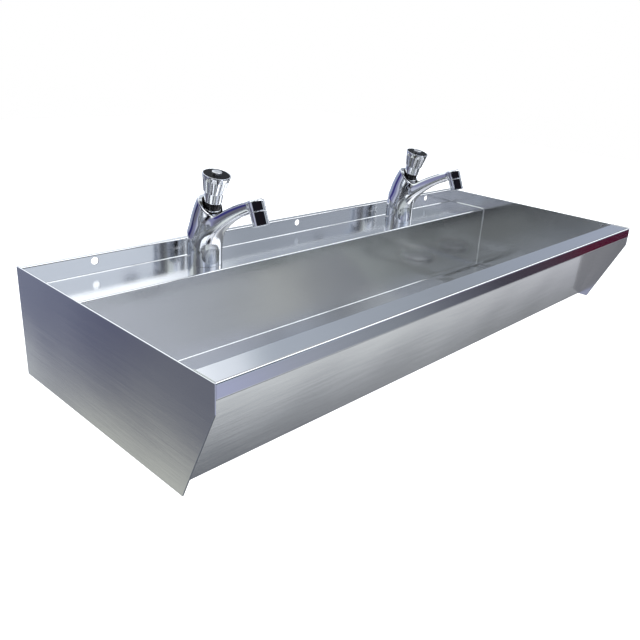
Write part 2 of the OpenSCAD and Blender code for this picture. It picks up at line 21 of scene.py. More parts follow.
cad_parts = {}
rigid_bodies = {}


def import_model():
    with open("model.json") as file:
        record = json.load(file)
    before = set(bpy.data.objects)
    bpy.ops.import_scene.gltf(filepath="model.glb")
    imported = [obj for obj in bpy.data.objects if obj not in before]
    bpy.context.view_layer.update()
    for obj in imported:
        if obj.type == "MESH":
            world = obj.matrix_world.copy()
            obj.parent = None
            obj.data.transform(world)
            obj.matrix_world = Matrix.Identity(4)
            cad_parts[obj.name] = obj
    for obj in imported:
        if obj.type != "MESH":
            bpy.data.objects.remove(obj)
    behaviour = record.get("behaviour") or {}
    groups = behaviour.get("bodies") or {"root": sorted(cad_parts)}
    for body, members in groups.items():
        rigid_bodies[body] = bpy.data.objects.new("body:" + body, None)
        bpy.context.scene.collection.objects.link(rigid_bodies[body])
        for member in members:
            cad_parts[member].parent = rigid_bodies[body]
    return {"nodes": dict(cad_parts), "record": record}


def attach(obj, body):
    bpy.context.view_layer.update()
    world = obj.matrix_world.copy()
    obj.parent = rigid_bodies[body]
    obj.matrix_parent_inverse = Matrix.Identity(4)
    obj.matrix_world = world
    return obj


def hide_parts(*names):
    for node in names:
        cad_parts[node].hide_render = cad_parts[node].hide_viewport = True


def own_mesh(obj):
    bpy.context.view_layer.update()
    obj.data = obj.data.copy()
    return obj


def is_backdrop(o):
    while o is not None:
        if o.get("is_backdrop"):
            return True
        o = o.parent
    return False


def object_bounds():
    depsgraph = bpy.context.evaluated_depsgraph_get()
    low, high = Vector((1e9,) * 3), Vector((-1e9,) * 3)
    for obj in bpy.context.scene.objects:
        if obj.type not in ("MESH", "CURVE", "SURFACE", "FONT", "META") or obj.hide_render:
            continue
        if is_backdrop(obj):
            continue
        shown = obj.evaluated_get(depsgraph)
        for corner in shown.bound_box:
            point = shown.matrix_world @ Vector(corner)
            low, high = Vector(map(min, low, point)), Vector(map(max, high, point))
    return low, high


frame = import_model()
cad_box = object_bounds()


def add(name, data):
    """A new object in the scene."""
    made = bpy.data.objects.new(name, data)
    bpy.context.scene.collection.objects.link(made)
    return made

# %% [markdown]
# ## The camera
#
# The photograph looks down along the trough from its left end. The camera
# was worked out from the trough's own straight edges: where it stands, which
# way it looks, and how long its lens is. It could also be turned by eye until
# the picture fits, but edges that are known to be straight give it exactly.
# A small shift puts the sink where the photograph has it in the frame.

# %% Camera
PHOTO = 640
FOCAL_PX = 676.17
CENTRE_PX = (344.52, 301.98)
EYE = Vector((-0.83925, -0.87315, 0.31158))
RIGHT = Vector((0.67976, -0.73057, 0.06478))
DOWN = Vector((-0.22049, -0.28779, -0.93196))
AHEAD = Vector((0.69951, 0.61923, -0.35672))

lens = bpy.data.cameras.new("photo_camera")
lens.sensor_width = 36
lens.lens = FOCAL_PX / PHOTO * lens.sensor_width
lens.shift_x = (PHOTO / 2 - CENTRE_PX[0]) / PHOTO
lens.shift_y = (CENTRE_PX[1] - PHOTO / 2) / PHOTO
lens.clip_start = 0.01
camera = add("photo_camera", lens)
axes = Matrix((RIGHT, -DOWN, -AHEAD)).transposed().to_4x4()
camera.matrix_world = Matrix.Translation(EYE) @ axes
bpy.context.scene.camera = camera
bpy.context.scene.view_settings.view_transform = "Standard"
print("lens", round(lens.lens, 2), "mm, camera at", tuple(EYE))

# %% [markdown]
# ## Shader maths as Python
#
# A finish is a small network of nodes. Written node by node it is long and
# hard to read, so one small class wraps a socket: adding, multiplying or
# taking the power of it adds the Math node that does so. Every other node
# comes from its `node` method.

# %% The wire class
class Wire:
    """A node's output socket, for shader maths in Python."""

    def __init__(self, tree, socket=None):
        self.tree = tree
        self.socket = socket

    def node(self, kind, settings=None, sockets=None, out=0):
        made = self.tree.nodes.new("ShaderNode" + kind)
        for name, value in (settings or {}).items():
            if name == "stops":
                set_stops(made.color_ramp, value)
            else:
                setattr(made, name, value)
        for name, value in (sockets or {}).items():
            plug(self.tree, value, made.inputs[name])
        return Wire(self.tree, made.outputs[out])

    def maths(self, operation, a, b=0.0):
        return self.node("Math", {"operation": operation}, {0: a, 1: b})

    def __add__(self, other):
        return self.maths("ADD", self, other)

    def __sub__(self, other):
        return self.maths("SUBTRACT", self, other)

    def __rsub__(self, other):
        return self.maths("SUBTRACT", other, self)

    def __mul__(self, other):
        return self.maths("MULTIPLY", self, other)

    def __truediv__(self, other):
        return self.maths("DIVIDE", self, other)

    def __pow__(self, other):
        return self.maths("POWER", self, other)

    __radd__ = __add__
    __rmul__ = __mul__


print("a wire knows + - * / and **")


# %% Helpers that every finish uses
def plug(tree, value, socket):
    """Links a wire to a socket, or sets the socket to a plain value."""
    if isinstance(value, Wire):
        tree.links.new(value.socket, socket)
    elif hasattr(value, "__len__") and socket.type == "RGBA":
        socket.default_value = (*value[:3], 1.0)
    else:
        socket.default_value = value


def set_stops(ramp, stops):
    """Gives a colour ramp its stops, each a place and a colour."""
    while len(ramp.elements) < len(stops):
        ramp.elements.new(0.5)
    for element, (place, colour) in zip(ramp.elements, stops):
        element.position = place
        element.color = (*colour, 1.0)


def clamp(wire):
    return wire.node("Clamp", {}, {"Value": wire})


def rise(wire, low, high):
    """0 below low, 1 above high, and smooth between them."""
    return wire.node("MapRange", {"interpolation_type": "SMOOTHSTEP"},
                     {"Value": wire, "From Min": low, "From Max": high})


def vector(wire, operation, other=(0, 0, 0), out=0):
    return wire.node("VectorMath", {"operation": operation},
                     {0: wire, 1: other}, out)


def stretched(start, scale):
    """The point on the object, each axis scaled: noise becomes streaks."""
    return vector(start.node("TexCoord", out="Object"), "MULTIPLY", scale)


def noise(start, scale, detail=2.0, rough=0.5, size=1.0):
    return start.node("TexNoise", {}, {
        "Vector": stretched(start, scale), "Scale": size,
        "Detail": detail, "Roughness": rough})


def blend(start, share, first, second):
    """Mixes two colours."""
    return start.node("Mix", {"data_type": "RGBA"},
                      {0: share, 6: first, 7: second}, out=2)


def bump(start, height, distance):
    return start.node("Bump", {}, {"Distance": distance, "Height": height})


def connect(shader, **values):
    """Sets or links the shader's sockets; _ stands for a space."""
    for socket, value in values.items():
        plug(shader.id_data, value, shader.inputs[socket.replace("_", " ")])


def finish(name, **fixed):
    """A material whose shader has these fixed values, and its first wire."""
    material = bpy.data.materials.new(name)
    material.use_nodes = True
    shader = material.node_tree.nodes["Principled BSDF"]
    connect(shader, **fixed)
    return material, Wire(material.node_tree), shader


print("helpers: clamp, rise, vector, stretched, noise, blend, bump, finish")

# %% [markdown]
# ## Studio and floor
#
# Polished metal shows little of its own colour. What one sees in it is the
# room, so the studio decides how it looks: soft pale walls, a few large soft
# panels, and some dark gaps between them that give the chrome its contrast.
# The room is a function of direction in the world shader, which keeps every
# panel soft-edged. The camera itself sees plain white.

# %% Studio
def direction(azimuth, elevation):
    """Azimuth 0 is towards -Y, the room; 90 is +X; elevation is upwards."""
    a, e = math.radians(azimuth), math.radians(elevation)
    return (math.sin(a) * math.cos(e), -math.cos(a) * math.cos(e), math.sin(e))


# name: azimuth, elevation, inner and outer half-angle, colour. Each panel is
# painted over those before it, so dark gaps are painted in as well.
PANELS = {
    "ceiling": (150, 70, 20, 60, (1.02, 1.04, 1.06)),
    "back_right": (120, 35, 15, 45, (0.30, 0.31, 0.33)),
    "window": (170, 38, 10, 35, (1.60, 1.72, 1.82)),
    "window_left": (220, 40, 10, 35, (1.12, 1.20, 1.16)),
    "wall_right": (120, 0, 15, 40, (0.40, 0.45, 0.53)),
    "wall_back": (165, 5, 10, 35, (0.36, 0.41, 0.58)),
    "under_front": (0, -35, 20, 45, (0.05, 0.05, 0.06)),
    "ground_front": (35, -45, 10, 35, (0.62, 0.65, 0.69)),
    "front": (15, 0, 10, 35, (0.56, 0.67, 0.85)),
    "front_high": (15, 40, 10, 30, (1.07, 1.09, 1.15)),
    "ground_right": (95, -45, 15, 35, (0.28, 0.31, 0.35)),
    "ground_back": (195, -45, 15, 35, (0.33, 0.33, 0.32)),
    "dark_left": (265, -5, 15, 40, (0.14, 0.14, 0.16)),
    "violet_left": (236, -9, 14, 26, (0.26, 0.27, 0.43)),
    "pale_left": (252, -8, 5, 13, (0.50, 0.53, 0.64)),
    "blue_left": (212, 2, 8, 20, (0.24, 0.23, 0.44)),
    "blue_streak": (213, -1, 8, 14, (0.045, 0.045, 0.19)),
    "blue_core": (211, -9, 3, 6, (0.010, 0.014, 0.05)),
    "low_left": (225, -22, 8, 20, (0.14, 0.14, 0.17)),
    "dark_right": (66, -8, 10, 24, (0.21, 0.18, 0.28)),
    "crimson": (62, -22, 6, 16, (0.08, 0.03, 0.04)),
    "end_light": (286, -23, 3, 8, (0.42, 0.42, 0.44)),
    "end_wall": (249, 25, 7, 15, (0.34, 0.36, 0.355)),
    "left_wall": (308, 20, 5, 11, (0.72, 0.79, 0.94)),
    "front_left": (315, -5, 8, 22, (1.40, 1.46, 1.66)),
    "gap_left": (285, 42, 8, 25, (0.09, 0.09, 0.08)),
    "left_corner": (298, 22, 5, 12, (0.49, 0.53, 0.57)),
    "front_top": (318, 64, 10, 20, (1.30, 1.34, 1.40)),
    "gap_high": (338, 56, 9, 12, (0.02, 0.02, 0.03)),
    "ground": (180, -88, 15, 35, (0.10, 0.11, 0.15)),
}
ROOM = (0.29, 0.33, 0.40)
# Dark things beside the camera, close to the taps: only what mirrors them
# directly shows them, and not the steel behind it.
NEAR = {
    "near_left": (282, 10, 20, 21.5, (0.010, 0.010, 0.014)),
    "near_camera": (308, 17, 20, 21.5, (0.010, 0.010, 0.014)),
    "near_front": (335, 20, 20, 21.5, (0.012, 0.010, 0.014)),
    "near_middle": (2, 20, 20, 21.5, (0.012, 0.010, 0.014)),
    "near_right": (25, 20, 18, 19.5, (0.010, 0.010, 0.014)),
}


# Long soft boxes and dark walls that run parallel to the trough. Name: low
# and high angle about X (0 is level towards the room, 90 straight up),
# softness, and stops, each a place along X (0 across, 1 along) and a colour.
ROWS = {
    "ground_near": (-100, -67, 3, (
        (0.5, 0.12, 0.13, 0.15), (0.7, 0.24, 0.25, 0.27),
        (0.9, 0.19, 0.2, 0.21))),
    "ground_far": (-65, -46, 4.5, (
        (0.45, 0.85, 0.88, 0.89), (0.75, 0.88, 0.9, 0.91),
        (0.92, 0.7, 0.71, 0.76))),
    "wall_low": (-46, -28, 4, (
        (0.55, 0.48, 0.51, 0.71), (0.62, 0.39, 0.42, 0.5),
        (0.75, 0.27, 0.3, 0.34), (0.8, 0.15, 0.16, 0.2),
        (0.84, 0.06, 0.06, 0.08), (0.885, 0.06, 0.04, 0.06),
        (0.9, 0.1, 0.0, 0.02), (0.925, 0.06, 0.0, 0.02))),
    "wall": (12, 28, 4, (
        (0.4, 0.94, 1.02, 1.14), (0.52, 0.92, 1.0, 1.12),
        (0.58, 0.46, 0.51, 0.58), (0.62, 0.43, 0.48, 0.55),
        (0.72, 0.52, 0.57, 0.66), (0.82, 0.37, 0.42, 0.47))),
    "wall_high": (28, 44, 4, (
        (0.45, 0.66, 0.71, 0.8), (0.57, 0.66, 0.71, 0.83),
        (0.6, 0.34, 0.37, 0.43), (0.615, 0.34, 0.37, 0.43),
        (0.65, 0.6, 0.66, 0.78), (0.685, 0.26, 0.28, 0.3),
        (0.7, 0.26, 0.28, 0.3), (0.73, 0.6, 0.64, 0.68),
        (0.765, 0.6, 0.64, 0.68), (0.8, 0.27, 0.29, 0.31))),
    "line_light": (48, 82, 3, (
        (0.3, 2.3, 2.4, 2.5), (0.95, 2.3, 2.4, 2.5))),
    "back_high": (112, 135, 5, (
        (0.42, 1.0, 1.05, 1.15), (0.59, 0.66, 0.7, 0.74),
        (0.62, 0.9, 0.92, 0.86), (0.65, 0.9, 0.92, 0.86),
        (0.67, 0.3, 0.32, 0.35), (0.7, 0.52, 0.55, 0.6),
        (0.75, 0.32, 0.33, 0.34), (0.8, 0.22, 0.23, 0.22))),
    "back_wall": (140, 168, 5, (
        (0.49, 1.35, 1.42, 1.5), (0.535, 0.92, 0.98, 1.07),
        (0.565, 0.92, 0.98, 1.07), (0.585, 0.58, 0.64, 0.72),
        (0.6, 0.43, 0.48, 0.56), (0.64, 0.45, 0.5, 0.58),
        (0.8, 0.35, 0.39, 0.45), (0.92, 0.4, 0.45, 0.56))),
}
# The same at the left, about Y, with the colour at places along Y.
LEFT_ROWS = {
    "left_ground": (-66, -50.5, 4, (
        (0.77, 0.66, 0.68, 0.62), (0.82, 0.46, 0.48, 0.49),
        (0.87, 0.75, 0.79, 0.82))),
    "left_low": (-50.5, -36, 4, (
        (0.76, 0.16, 0.17, 0.215), (0.82, 0.11, 0.12, 0.2),
        (0.88, 0.19, 0.21, 0.31))),
}
# Rows fade in between these places along the axis, and the near things fade
# out between these counts of bounces.
ROW_STARTS = (0.1, 0.3)
FIRST_BOUNCE = (2.2, 2.8)


def paint_rows(light, angle, along, rows):
    for low, high, soft, stops in rows.values():
        ramp = [(stop[0], stop[1:]) for stop in stops]
        colour = light.node("ValToRGB", {"stops": ramp}, {"Fac": along})
        share = rise(angle, low - soft, low + soft)
        share = share * (1 - rise(angle, high - soft, high + soft))
        share = share * rise(along, *ROW_STARTS)
        light = blend(light, share, light, colour)
    return light


def paint_panels(light, look, panels, part=1.0):
    for azimuth, elevation, inner, outer, colour in panels.values():
        facing = vector(look, "DOT_PRODUCT", direction(azimuth, elevation),
                        "Value")
        share = rise(facing, math.cos(math.radians(outer)),
                     math.cos(math.radians(inner))) * part
        light = blend(light, share, light, colour)
    return light


def studio_light(world):
    start = Wire(world.node_tree)
    look = start.node("TexCoord", out="Generated")
    light = start.node("RGB")
    light.socket.default_value = (*ROOM, 1)
    light = paint_panels(light, look, PANELS)
    x, y, z = [look.node("SeparateXYZ", {}, {"Vector": look}, out=k)
               for k in range(3)]
    degrees = 180 / math.pi
    about_x = start.maths("ARCTAN2", z, 0 - y) * degrees
    about_y = start.maths("ARCTAN2", z, 0 - x) * degrees
    light = paint_rows(light, about_x, x, ROWS)
    light = paint_rows(light, about_y, y, LEFT_ROWS)
    bounces = start.node("LightPath", out="Ray Depth")
    return paint_panels(light, look, NEAR, 1 - rise(bounces, *FIRST_BOUNCE))


world = bpy.data.worlds.new("studio")
world.use_nodes = True
world.node_tree.nodes.clear()
start = Wire(world.node_tree)
room = start.node("Background", {}, {"Color": studio_light(world)})
white = start.node("Background", {}, {"Color": (1, 1, 1)})
to_camera = start.node("LightPath", out="Is Camera Ray")
both = start.node("MixShader", {}, {0: to_camera, 1: room, 2: white})
output = world.node_tree.nodes.new("ShaderNodeOutputWorld")
world.node_tree.links.new(both.socket, output.inputs["Surface"])
bpy.context.scene.world = world
print("studio panels:", ", ".join(PANELS))

# %% Floor
FLOOR_Z = -0.85
bpy.ops.mesh.primitive_plane_add(size=16, location=(0, 0, FLOOR_Z))
floor = bpy.context.object
floor.name = "floor"
floor.visible_glossy = False
material, start, shader = finish(
    "pale_floor", Roughness=0.8, Emission_Strength=0.82,
    Emission_Color=(1, 1, 1))
connect(shader, Base_Color=blend(start, noise(start, (1, 1, 1), size=3),
                                 (0.84, 0.84, 0.84), (0.88, 0.88, 0.87)))
floor.data.materials.append(material)
floor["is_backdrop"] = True
print("floor at", FLOOR_Z, "m")

# %% [markdown]
# ## Brushed stainless sheet
#
# The sheet is brushed along its length, so it mirrors the room softly, more
# across the brush marks than along them. Very fine stretched noise on the
# bump does that, because neighbouring marks tilt the light to and fro. A
# slow second bump is the slight unevenness of thin sheet, and rubbing and
# water leave patches that are a little duller.

# %% Brushed steel
def brushed(name, along, tint=(0.75, 0.755, 0.765), dull=0.13, spread=0.10):
    """Steel with brush marks along the given axis, 0 to 2."""
    material, start, shader = finish(name, Metallic=1.0)
    fine = [11000.0, 11000.0, 11000.0]
    fine[along] = 14.0
    bands = [240.0, 240.0, 240.0]
    bands[along] = 3.0
    band = noise(start, bands, detail=3.0, rough=0.6)
    patch = noise(start, (1, 1, 1), size=7.0, detail=2.0)
    sway = noise(start, (1, 1, 1), size=4.0, detail=1.0)
    rough = dull + 0.03 * (band - 0.5) + 0.05 * (patch - 0.5)
    shade = blend(start, clamp(0.5 + 0.7 * (band - 0.5) + 0.9 * (patch - 0.5)),
                  [c * 0.95 for c in tint], [c * 1.03 for c in tint])
    marks = start.node("TexNoise", {}, {
        "Vector": stretched(start, fine), "Scale": 1.0, "Detail": 2.0}, out=1)
    tilt = [spread] * 3
    tilt[along] = 0.0
    marks = vector(marks, "SUBTRACT", (0.5, 0.5, 0.5))
    marks = vector(marks, "MULTIPLY", tilt)
    normal = vector(bump(start, sway, 0.0012), "ADD", marks)
    connect(shader, Base_Color=shade, Roughness=clamp(rough),
            Normal=vector(normal, "NORMALIZE"))
    return material


sheet_steel = brushed("brushed_sheet", 0)
panel_steel = brushed("brushed_panel", 1, dull=0.14)
tray_steel = brushed("brushed_tray", 0, dull=0.2)
print("steel:", sheet_steel.name, panel_steel.name, tray_steel.name)

# %% [markdown]
# ## Chrome, rubber, brass and plastic
#
# The taps are chromed and polished, and only faint smears of dried water
# dull them. Moulded, cast and plated parts have a fine grain and clouds of
# shade. A picture of such marks could be laid on instead, but noise has no
# seams and follows any form. Every node of the frame takes the finish of its
# slot first, and the pieces made below take it from the same list.

# %% Chrome and the rest
def chrome(name, tint, dull=0.035):
    """Plated and polished, with smears that dull it and faint spots."""
    material, start, shader = finish(name, Metallic=1.0)
    smear = noise(start, (1, 1, 1), size=60.0, detail=3.0)
    spots = noise(start, (1, 1, 1), size=400.0, detail=1.0)
    connect(shader, Base_Color=blend(start, smear, tint,
                                     [min(1, c * 1.03) for c in tint]),
            Roughness=dull + 0.05 * rise(smear, 0.5, 0.75),
            Normal=bump(start, spots, 0.00002))
    return material


def moulded(name, colour, dull, metal=0.0, gloss=0.5):
    """Moulded, cast or plated: a fine grain, and clouds of shade and gloss."""
    material, start, shader = finish(name, Metallic=metal,
                                     Specular_IOR_Level=gloss)
    speck = noise(start, (1, 1, 1), size=900.0, detail=3.0)
    cloud = noise(start, (1, 1, 1), size=70.0, detail=2.0)
    connect(shader,
            Base_Color=blend(start, cloud, [c * 0.85 for c in colour],
                             [min(1, c * 1.12) for c in colour]),
            Roughness=dull + 0.12 * (cloud - 0.5),
            Normal=bump(start, speck, 0.00003))
    return material


SLOT_FINISH = {
    "stainless_steel": sheet_steel,
    "waste_chrome": chrome("waste_chrome", (0.67, 0.68, 0.70), 0.35),
    "tap_chrome": chrome("tap_chrome", (0.80, 0.81, 0.84)),
    "rubber": moulded("rubber", (0.03, 0.03, 0.032), 0.7),
    "nylon": moulded("nylon", (0.75, 0.74, 0.70), 0.45),
    "brass": moulded("brass", (0.72, 0.52, 0.26), 0.28, metal=1.0),
    "plated_steel": moulded("plated_steel", (0.6, 0.6, 0.58), 0.3, metal=1.0),
    "dark_plastic": moulded("dark_plastic", (0.010, 0.010, 0.012), 0.15,
                            gloss=0.3),
    "spring_steel": moulded("spring_steel", (0.5, 0.5, 0.52), 0.25, metal=1.0),
    "black_plastic": moulded("black_plastic", (0.006, 0.006, 0.007), 0.2,
                             gloss=0.04),
    "disc_metal": moulded("disc_metal", (0.75, 0.76, 0.78), 0.3, metal=1.0),
}
# Near-black metal for the faces inside the socket's bore: painted shade for the dark
# hollow round the ring. Its roughness is the bore's unpolished finish.
BORE_PAINTED_SHADE = moulded("bore_painted_shade", (0.06, 0.055, 0.05), 0.45, metal=1.0)
for part in frame["record"]["subparts"]:
    node = frame["nodes"][part["node"]]
    node.data.materials.clear()
    node.data.materials.append(SLOT_FINISH[part["material_slot"]])
for side in ("left", "right"):
    frame["nodes"][side + "_end_panel"].data.materials[0] = panel_steel
frame["nodes"]["outlet_tray"].data.materials[0] = tray_steel

# %% [markdown]
# ## Making meshes
#
# Almost every part of a sink is folded, turned on a lathe or swept along a
# line, so three small makers cover them: a strip of rings, a turned form
# whose radius may change with the angle, and a rounded profile. Sizes are in
# millimetres, as a workshop drawing gives them, and the placing matrix turns
# them into metres.

# %% Rings, profiles and pieces
MM = 0.001


def rectangle(x0, x1, y0, y1):
    return [(x0, y0), (x1, y0), (x1, y1), (x0, y1)]


def grid_faces(rows, columns, wrap_rows=False, wrap_columns=True):
    """Quads between neighbouring points of a grid of points."""
    faces = []
    for i in range(rows if wrap_rows else rows - 1):
        for j in range(columns if wrap_columns else columns - 1):
            k, m = (i + 1) % rows, (j + 1) % columns
            faces.append((i * columns + j, i * columns + m,
                          k * columns + m, k * columns + j))
    return faces


def capped(rows, columns):
    """Quads round a strip of rings, and a face over each end."""
    last = (rows - 1) * columns
    return grid_faces(rows, columns) + [
        tuple(range(columns)), tuple(range(last, last + columns))]


def rounded(corners, radius=0.4, steps=4, closed=False):
    """A polyline with each corner replaced by a small arc."""
    corners = [np.array(c, float) for c in corners]
    count = len(corners)
    line = []
    for i, here in enumerate(corners):
        if not closed and i in (0, count - 1):
            line.append(here)
            continue
        back, ahead = corners[i - 1] - here, corners[(i + 1) % count] - here
        reach_back, reach_on = np.linalg.norm(back), np.linalg.norm(ahead)
        back, ahead = back / reach_back, ahead / reach_on
        half = math.acos(np.clip(back @ ahead, -1, 1)) / 2
        if half > math.pi / 2 - 0.02:
            line.append(here)
            continue
        cut = min(radius / math.tan(half), 0.45 * reach_back, 0.45 * reach_on)
        for t in np.linspace(0, 1, steps + 1):
            line.append(here + cut * ((1 - t) ** 2 * back + t ** 2 * ahead))
    return np.array(line)


def turned(profile, around=96, shape=None, closed=False):
    """Points and faces of a profile (radius, height) turned about Z.
    shape(angle, radius, height) may change the radius."""
    angle = np.arange(around) * 2 * math.pi / around
    radius = np.repeat(profile[:, :1], around, 1)
    height = np.repeat(profile[:, 1:], around, 1)
    if shape:
        radius = shape(angle[None, :], radius, height)
    points = np.stack([radius * np.cos(angle), radius * np.sin(angle),
                       height], -1)
    return points.reshape(-1, 3), grid_faces(len(profile), around, closed)


def smoothed(mesh, sharp=35):
    """Smooth but for edges sharper than this many degrees."""
    mesh.shade_smooth()
    mesh.set_sharp_from_angle(angle=math.radians(sharp))


def placed(mesh, place):
    """Moves a mesh in metres by a place in millimetres."""
    mesh.transform(Matrix.Scale(MM, 4) @ place @ Matrix.Scale(1 / MM, 4))


def work_on(name, points, faces):
    """A new mesh, and a bmesh of it to work on."""
    mesh = bpy.data.meshes.new(name)
    mesh.from_pydata([tuple(p) for p in points], [], faces)
    work = bmesh.new()
    work.from_mesh(mesh)
    return mesh, work


def mesh_piece(name, points, faces, material, place=None, sharp=35):
    """A new object from points in millimetres."""
    mesh, work = work_on(name, points, faces)
    bmesh.ops.remove_doubles(work, verts=work.verts, dist=1e-4)
    bmesh.ops.recalc_face_normals(work, faces=work.faces)
    work.to_mesh(mesh)
    work.free()
    mesh.transform(place or Matrix.Identity(4))
    mesh.transform(Matrix.Scale(MM, 4))
    smoothed(mesh, sharp)
    piece = add(name, mesh)
    mesh.materials.append(material)
    even = piece.modifiers.new("even_normals", "WEIGHTED_NORMAL")
    even.keep_sharp = True
    return piece


def dress(piece, body, slot, *nodes):
    """The piece rides on a body and stands for nodes; slot is not used."""
    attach(piece, body)
    if nodes:
        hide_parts(*nodes)
    return piece


print("a rounded square has", len(rounded(rectangle(0, 9, 0, 9), 1, 4, True)),
      "points")

# %% [markdown]
# ## The folded trough
#
# The real trough is one long sheet, folded eight times in a press: a return
# to the wall, the upstand with the screw holes, the ledge for the taps, the
# back wall, the floor, a leaning front, the rim, the lip and a safe edge
# under it. The model is made the same way. The section is drawn once, each
# fold as an arc, and runs the length of the trough. A box with bevelled edges
# would be quicker, but it has neither the sheet's thickness nor the right
# bends. The holes are then cut, and their edges eased as if filed.

# %% Section of the sheet
SHEET, FOLD, ARC_POINTS = 1.5, 1.2, 9
WALL_Y, RIM_Z, FRONT_Y = 7.5, 10.0, -419.5
UPSTAND_Y, LEDGE_Z = -1.5, -18.3
BACK_Y, FLOOR_Z_MM = -92.0, -146.5
BOWL_FRONT_Y, RIM_IN_Y = -344.0, -383.5
LIP_H, SAFE_EDGE = 20, 10
BOTTOM_Z = FLOOR_Z_MM - SHEET
INNER_X, OUTER_X = 498.0, 500.0
FOLDS = [(WALL_Y, RIM_Z), (UPSTAND_Y, RIM_Z), (UPSTAND_Y, LEDGE_Z),
         (BACK_Y, LEDGE_Z), (BACK_Y, FLOOR_Z_MM), (BOWL_FRONT_Y, FLOOR_Z_MM),
         (RIM_IN_Y, RIM_Z), (FRONT_Y, RIM_Z), (FRONT_Y, RIM_Z - LIP_H),
         (FRONT_Y + SAFE_EDGE, RIM_Z - LIP_H)]


def sheet_side(path, thick, radius, back):
    """One side of the folded strip, each fold drawn as an arc."""
    path = [np.array(p, float) for p in path]
    ways = [(b - a) / np.linalg.norm(b - a) for a, b in zip(path, path[1:])]
    left = [np.array((-w[1], w[0])) for w in ways]
    shift = thick if back else 0
    line = [path[0] + left[0] * shift]
    for i in range(1, len(path) - 1):
        a, b = ways[i - 1], ways[i]
        side = np.sign(a[0] * b[1] - a[1] * b[0])
        turn = math.acos(np.clip(a @ b, -1, 1))
        face = radius + thick if side > 0 else radius
        arc = radius if (side > 0) == back else radius + thick
        centre = path[i] + face * (side * left[i - 1]
                                   - a * math.tan(turn / 2))
        out = -side * left[i - 1]
        start = math.atan2(out[1], out[0])
        for t in np.linspace(0, side * turn, ARC_POINTS):
            line.append(centre + arc * np.array((math.cos(start + t),
                                                 math.sin(start + t))))
    line.append(path[-1] + left[-1] * shift)
    return np.array(line)


face_side = sheet_side(FOLDS, SHEET, FOLD, False)
back_side = sheet_side(FOLDS, SHEET, FOLD, True)
print("section points:", len(face_side) + len(back_side))

# %% Shell of the trough
def along_x(section, x0, x1, material, name):
    """Stands a closed [y, z] outline along X."""
    points = [(x, *p) for x in (x0, x1) for p in section]
    return mesh_piece(name, points, capped(2, len(section)), material)


def cut(piece, cutters):
    """Takes the cutters out of the piece, and removes them."""
    for cutter in cutters:
        step = piece.modifiers.new("cut", "BOOLEAN")
        step.operation = "DIFFERENCE"
        step.solver = "EXACT"
        step.object = cutter
    graph = bpy.context.evaluated_depsgraph_get()
    solid = bpy.data.meshes.new_from_object(piece.evaluated_get(graph))
    for step in [m for m in piece.modifiers if m.name.startswith("cut")]:
        piece.modifiers.remove(step)
    piece.data = solid
    for cutter in cutters:
        bpy.data.objects.remove(cutter)
    return piece


def drill(radius, thick, ease, flare):
    """The outline of a drill that flares at both faces, to ease the edges."""
    return np.array([(0, -flare), (radius + flare, -flare),
                     (radius + ease, 0), (radius, ease),
                     (radius, thick - ease), (radius + ease, thick),
                     (radius + flare, thick + flare), (0, thick + flare)],
                    float)


def hole(centre, radius, way):
    """A drill through the sheet, from a point on one of its faces."""
    points, faces = turned(drill(radius, SHEET, 0.35, 3), 72)
    turn = Vector((0, 0, 1)).rotation_difference(Vector(way))
    return mesh_piece("hole", points, faces, sheet_steel,
                      Matrix.Translation(centre) @ turn.to_matrix().to_4x4())


TAP_X, TAP_Y, TAP_HOLE_R = 240.0, -48.95, 14
TAPS = {"left": -TAP_X, "right": TAP_X}
FIX_X, FIX_R = 395, 5.5
TRAY_X, TRAY_Y = (310.0, 492.0), (-322.0, -96.0)
section = np.vstack([face_side, back_side[::-1]])
shell = along_x(section, -INNER_X, INNER_X, sheet_steel, "folded_trough")
drills = [hole((x, UPSTAND_Y, 0), FIX_R, (0, 1, 0))
          for x in (-FIX_X, 0, FIX_X)]
drills += [hole((x, TAP_Y, LEDGE_Z - SHEET), TAP_HOLE_R, (0, 0, 1))
           for x in TAPS.values()]
points = [(*p, z) for z in (BOTTOM_Z - 2, FLOOR_Z_MM + 2)
          for p in rectangle(*TRAY_X, *TRAY_Y)]
drills.append(mesh_piece("window", points, capped(2, 4), sheet_steel))
cut(shell, drills)
smoothed(shell.data)
dress(shell, "trough", "stainless_steel", "trough_shell")
print("shell:", len(shell.data.vertices), "points")

# %% [markdown]
# ## End panels and welds
#
# Each end is a flat plate, cut on a slant at the front and welded to the
# folded sheet. The welds are ground and brushed down to a small fillet in
# the inside corner, which catches a thin line of light, and the plate's
# edges are filed just round enough not to cut the hand. A bevel modifier
# could round them; moving the outline inwards, ring by ring, gives the same
# arc all round, also at the slant.

# %% End panels
def inset(outline, by):
    """A closed outline moved inwards."""
    back, ahead = np.roll(outline, 1, 0), np.roll(outline, -1, 0)
    way_in = ahead - back
    way_in /= np.linalg.norm(way_in, axis=1)[:, None]
    spin = np.sum(outline[:, 0] * ahead[:, 1] - outline[:, 1] * ahead[:, 0])
    left = np.stack([-way_in[:, 1], way_in[:, 0]], -1)
    return outline + left * (by if spin > 0 else -by)


def plate(name, outline, x0, x1, material, ease=0.5):
    """A plate between x0 and x1 with eased edges."""
    rings = []
    for t in np.linspace(0, math.pi / 2, 4):
        rings.append((x0 + ease * (1 - math.sin(t)), ease * (1 - math.cos(t))))
    rings = rings[::-1] + [(x0 + x1 - x, by) for x, by in rings]
    points = [(x, *p) for x, by in rings for p in inset(outline, by)]
    return mesh_piece(name, points, capped(len(rings), len(outline)), material)


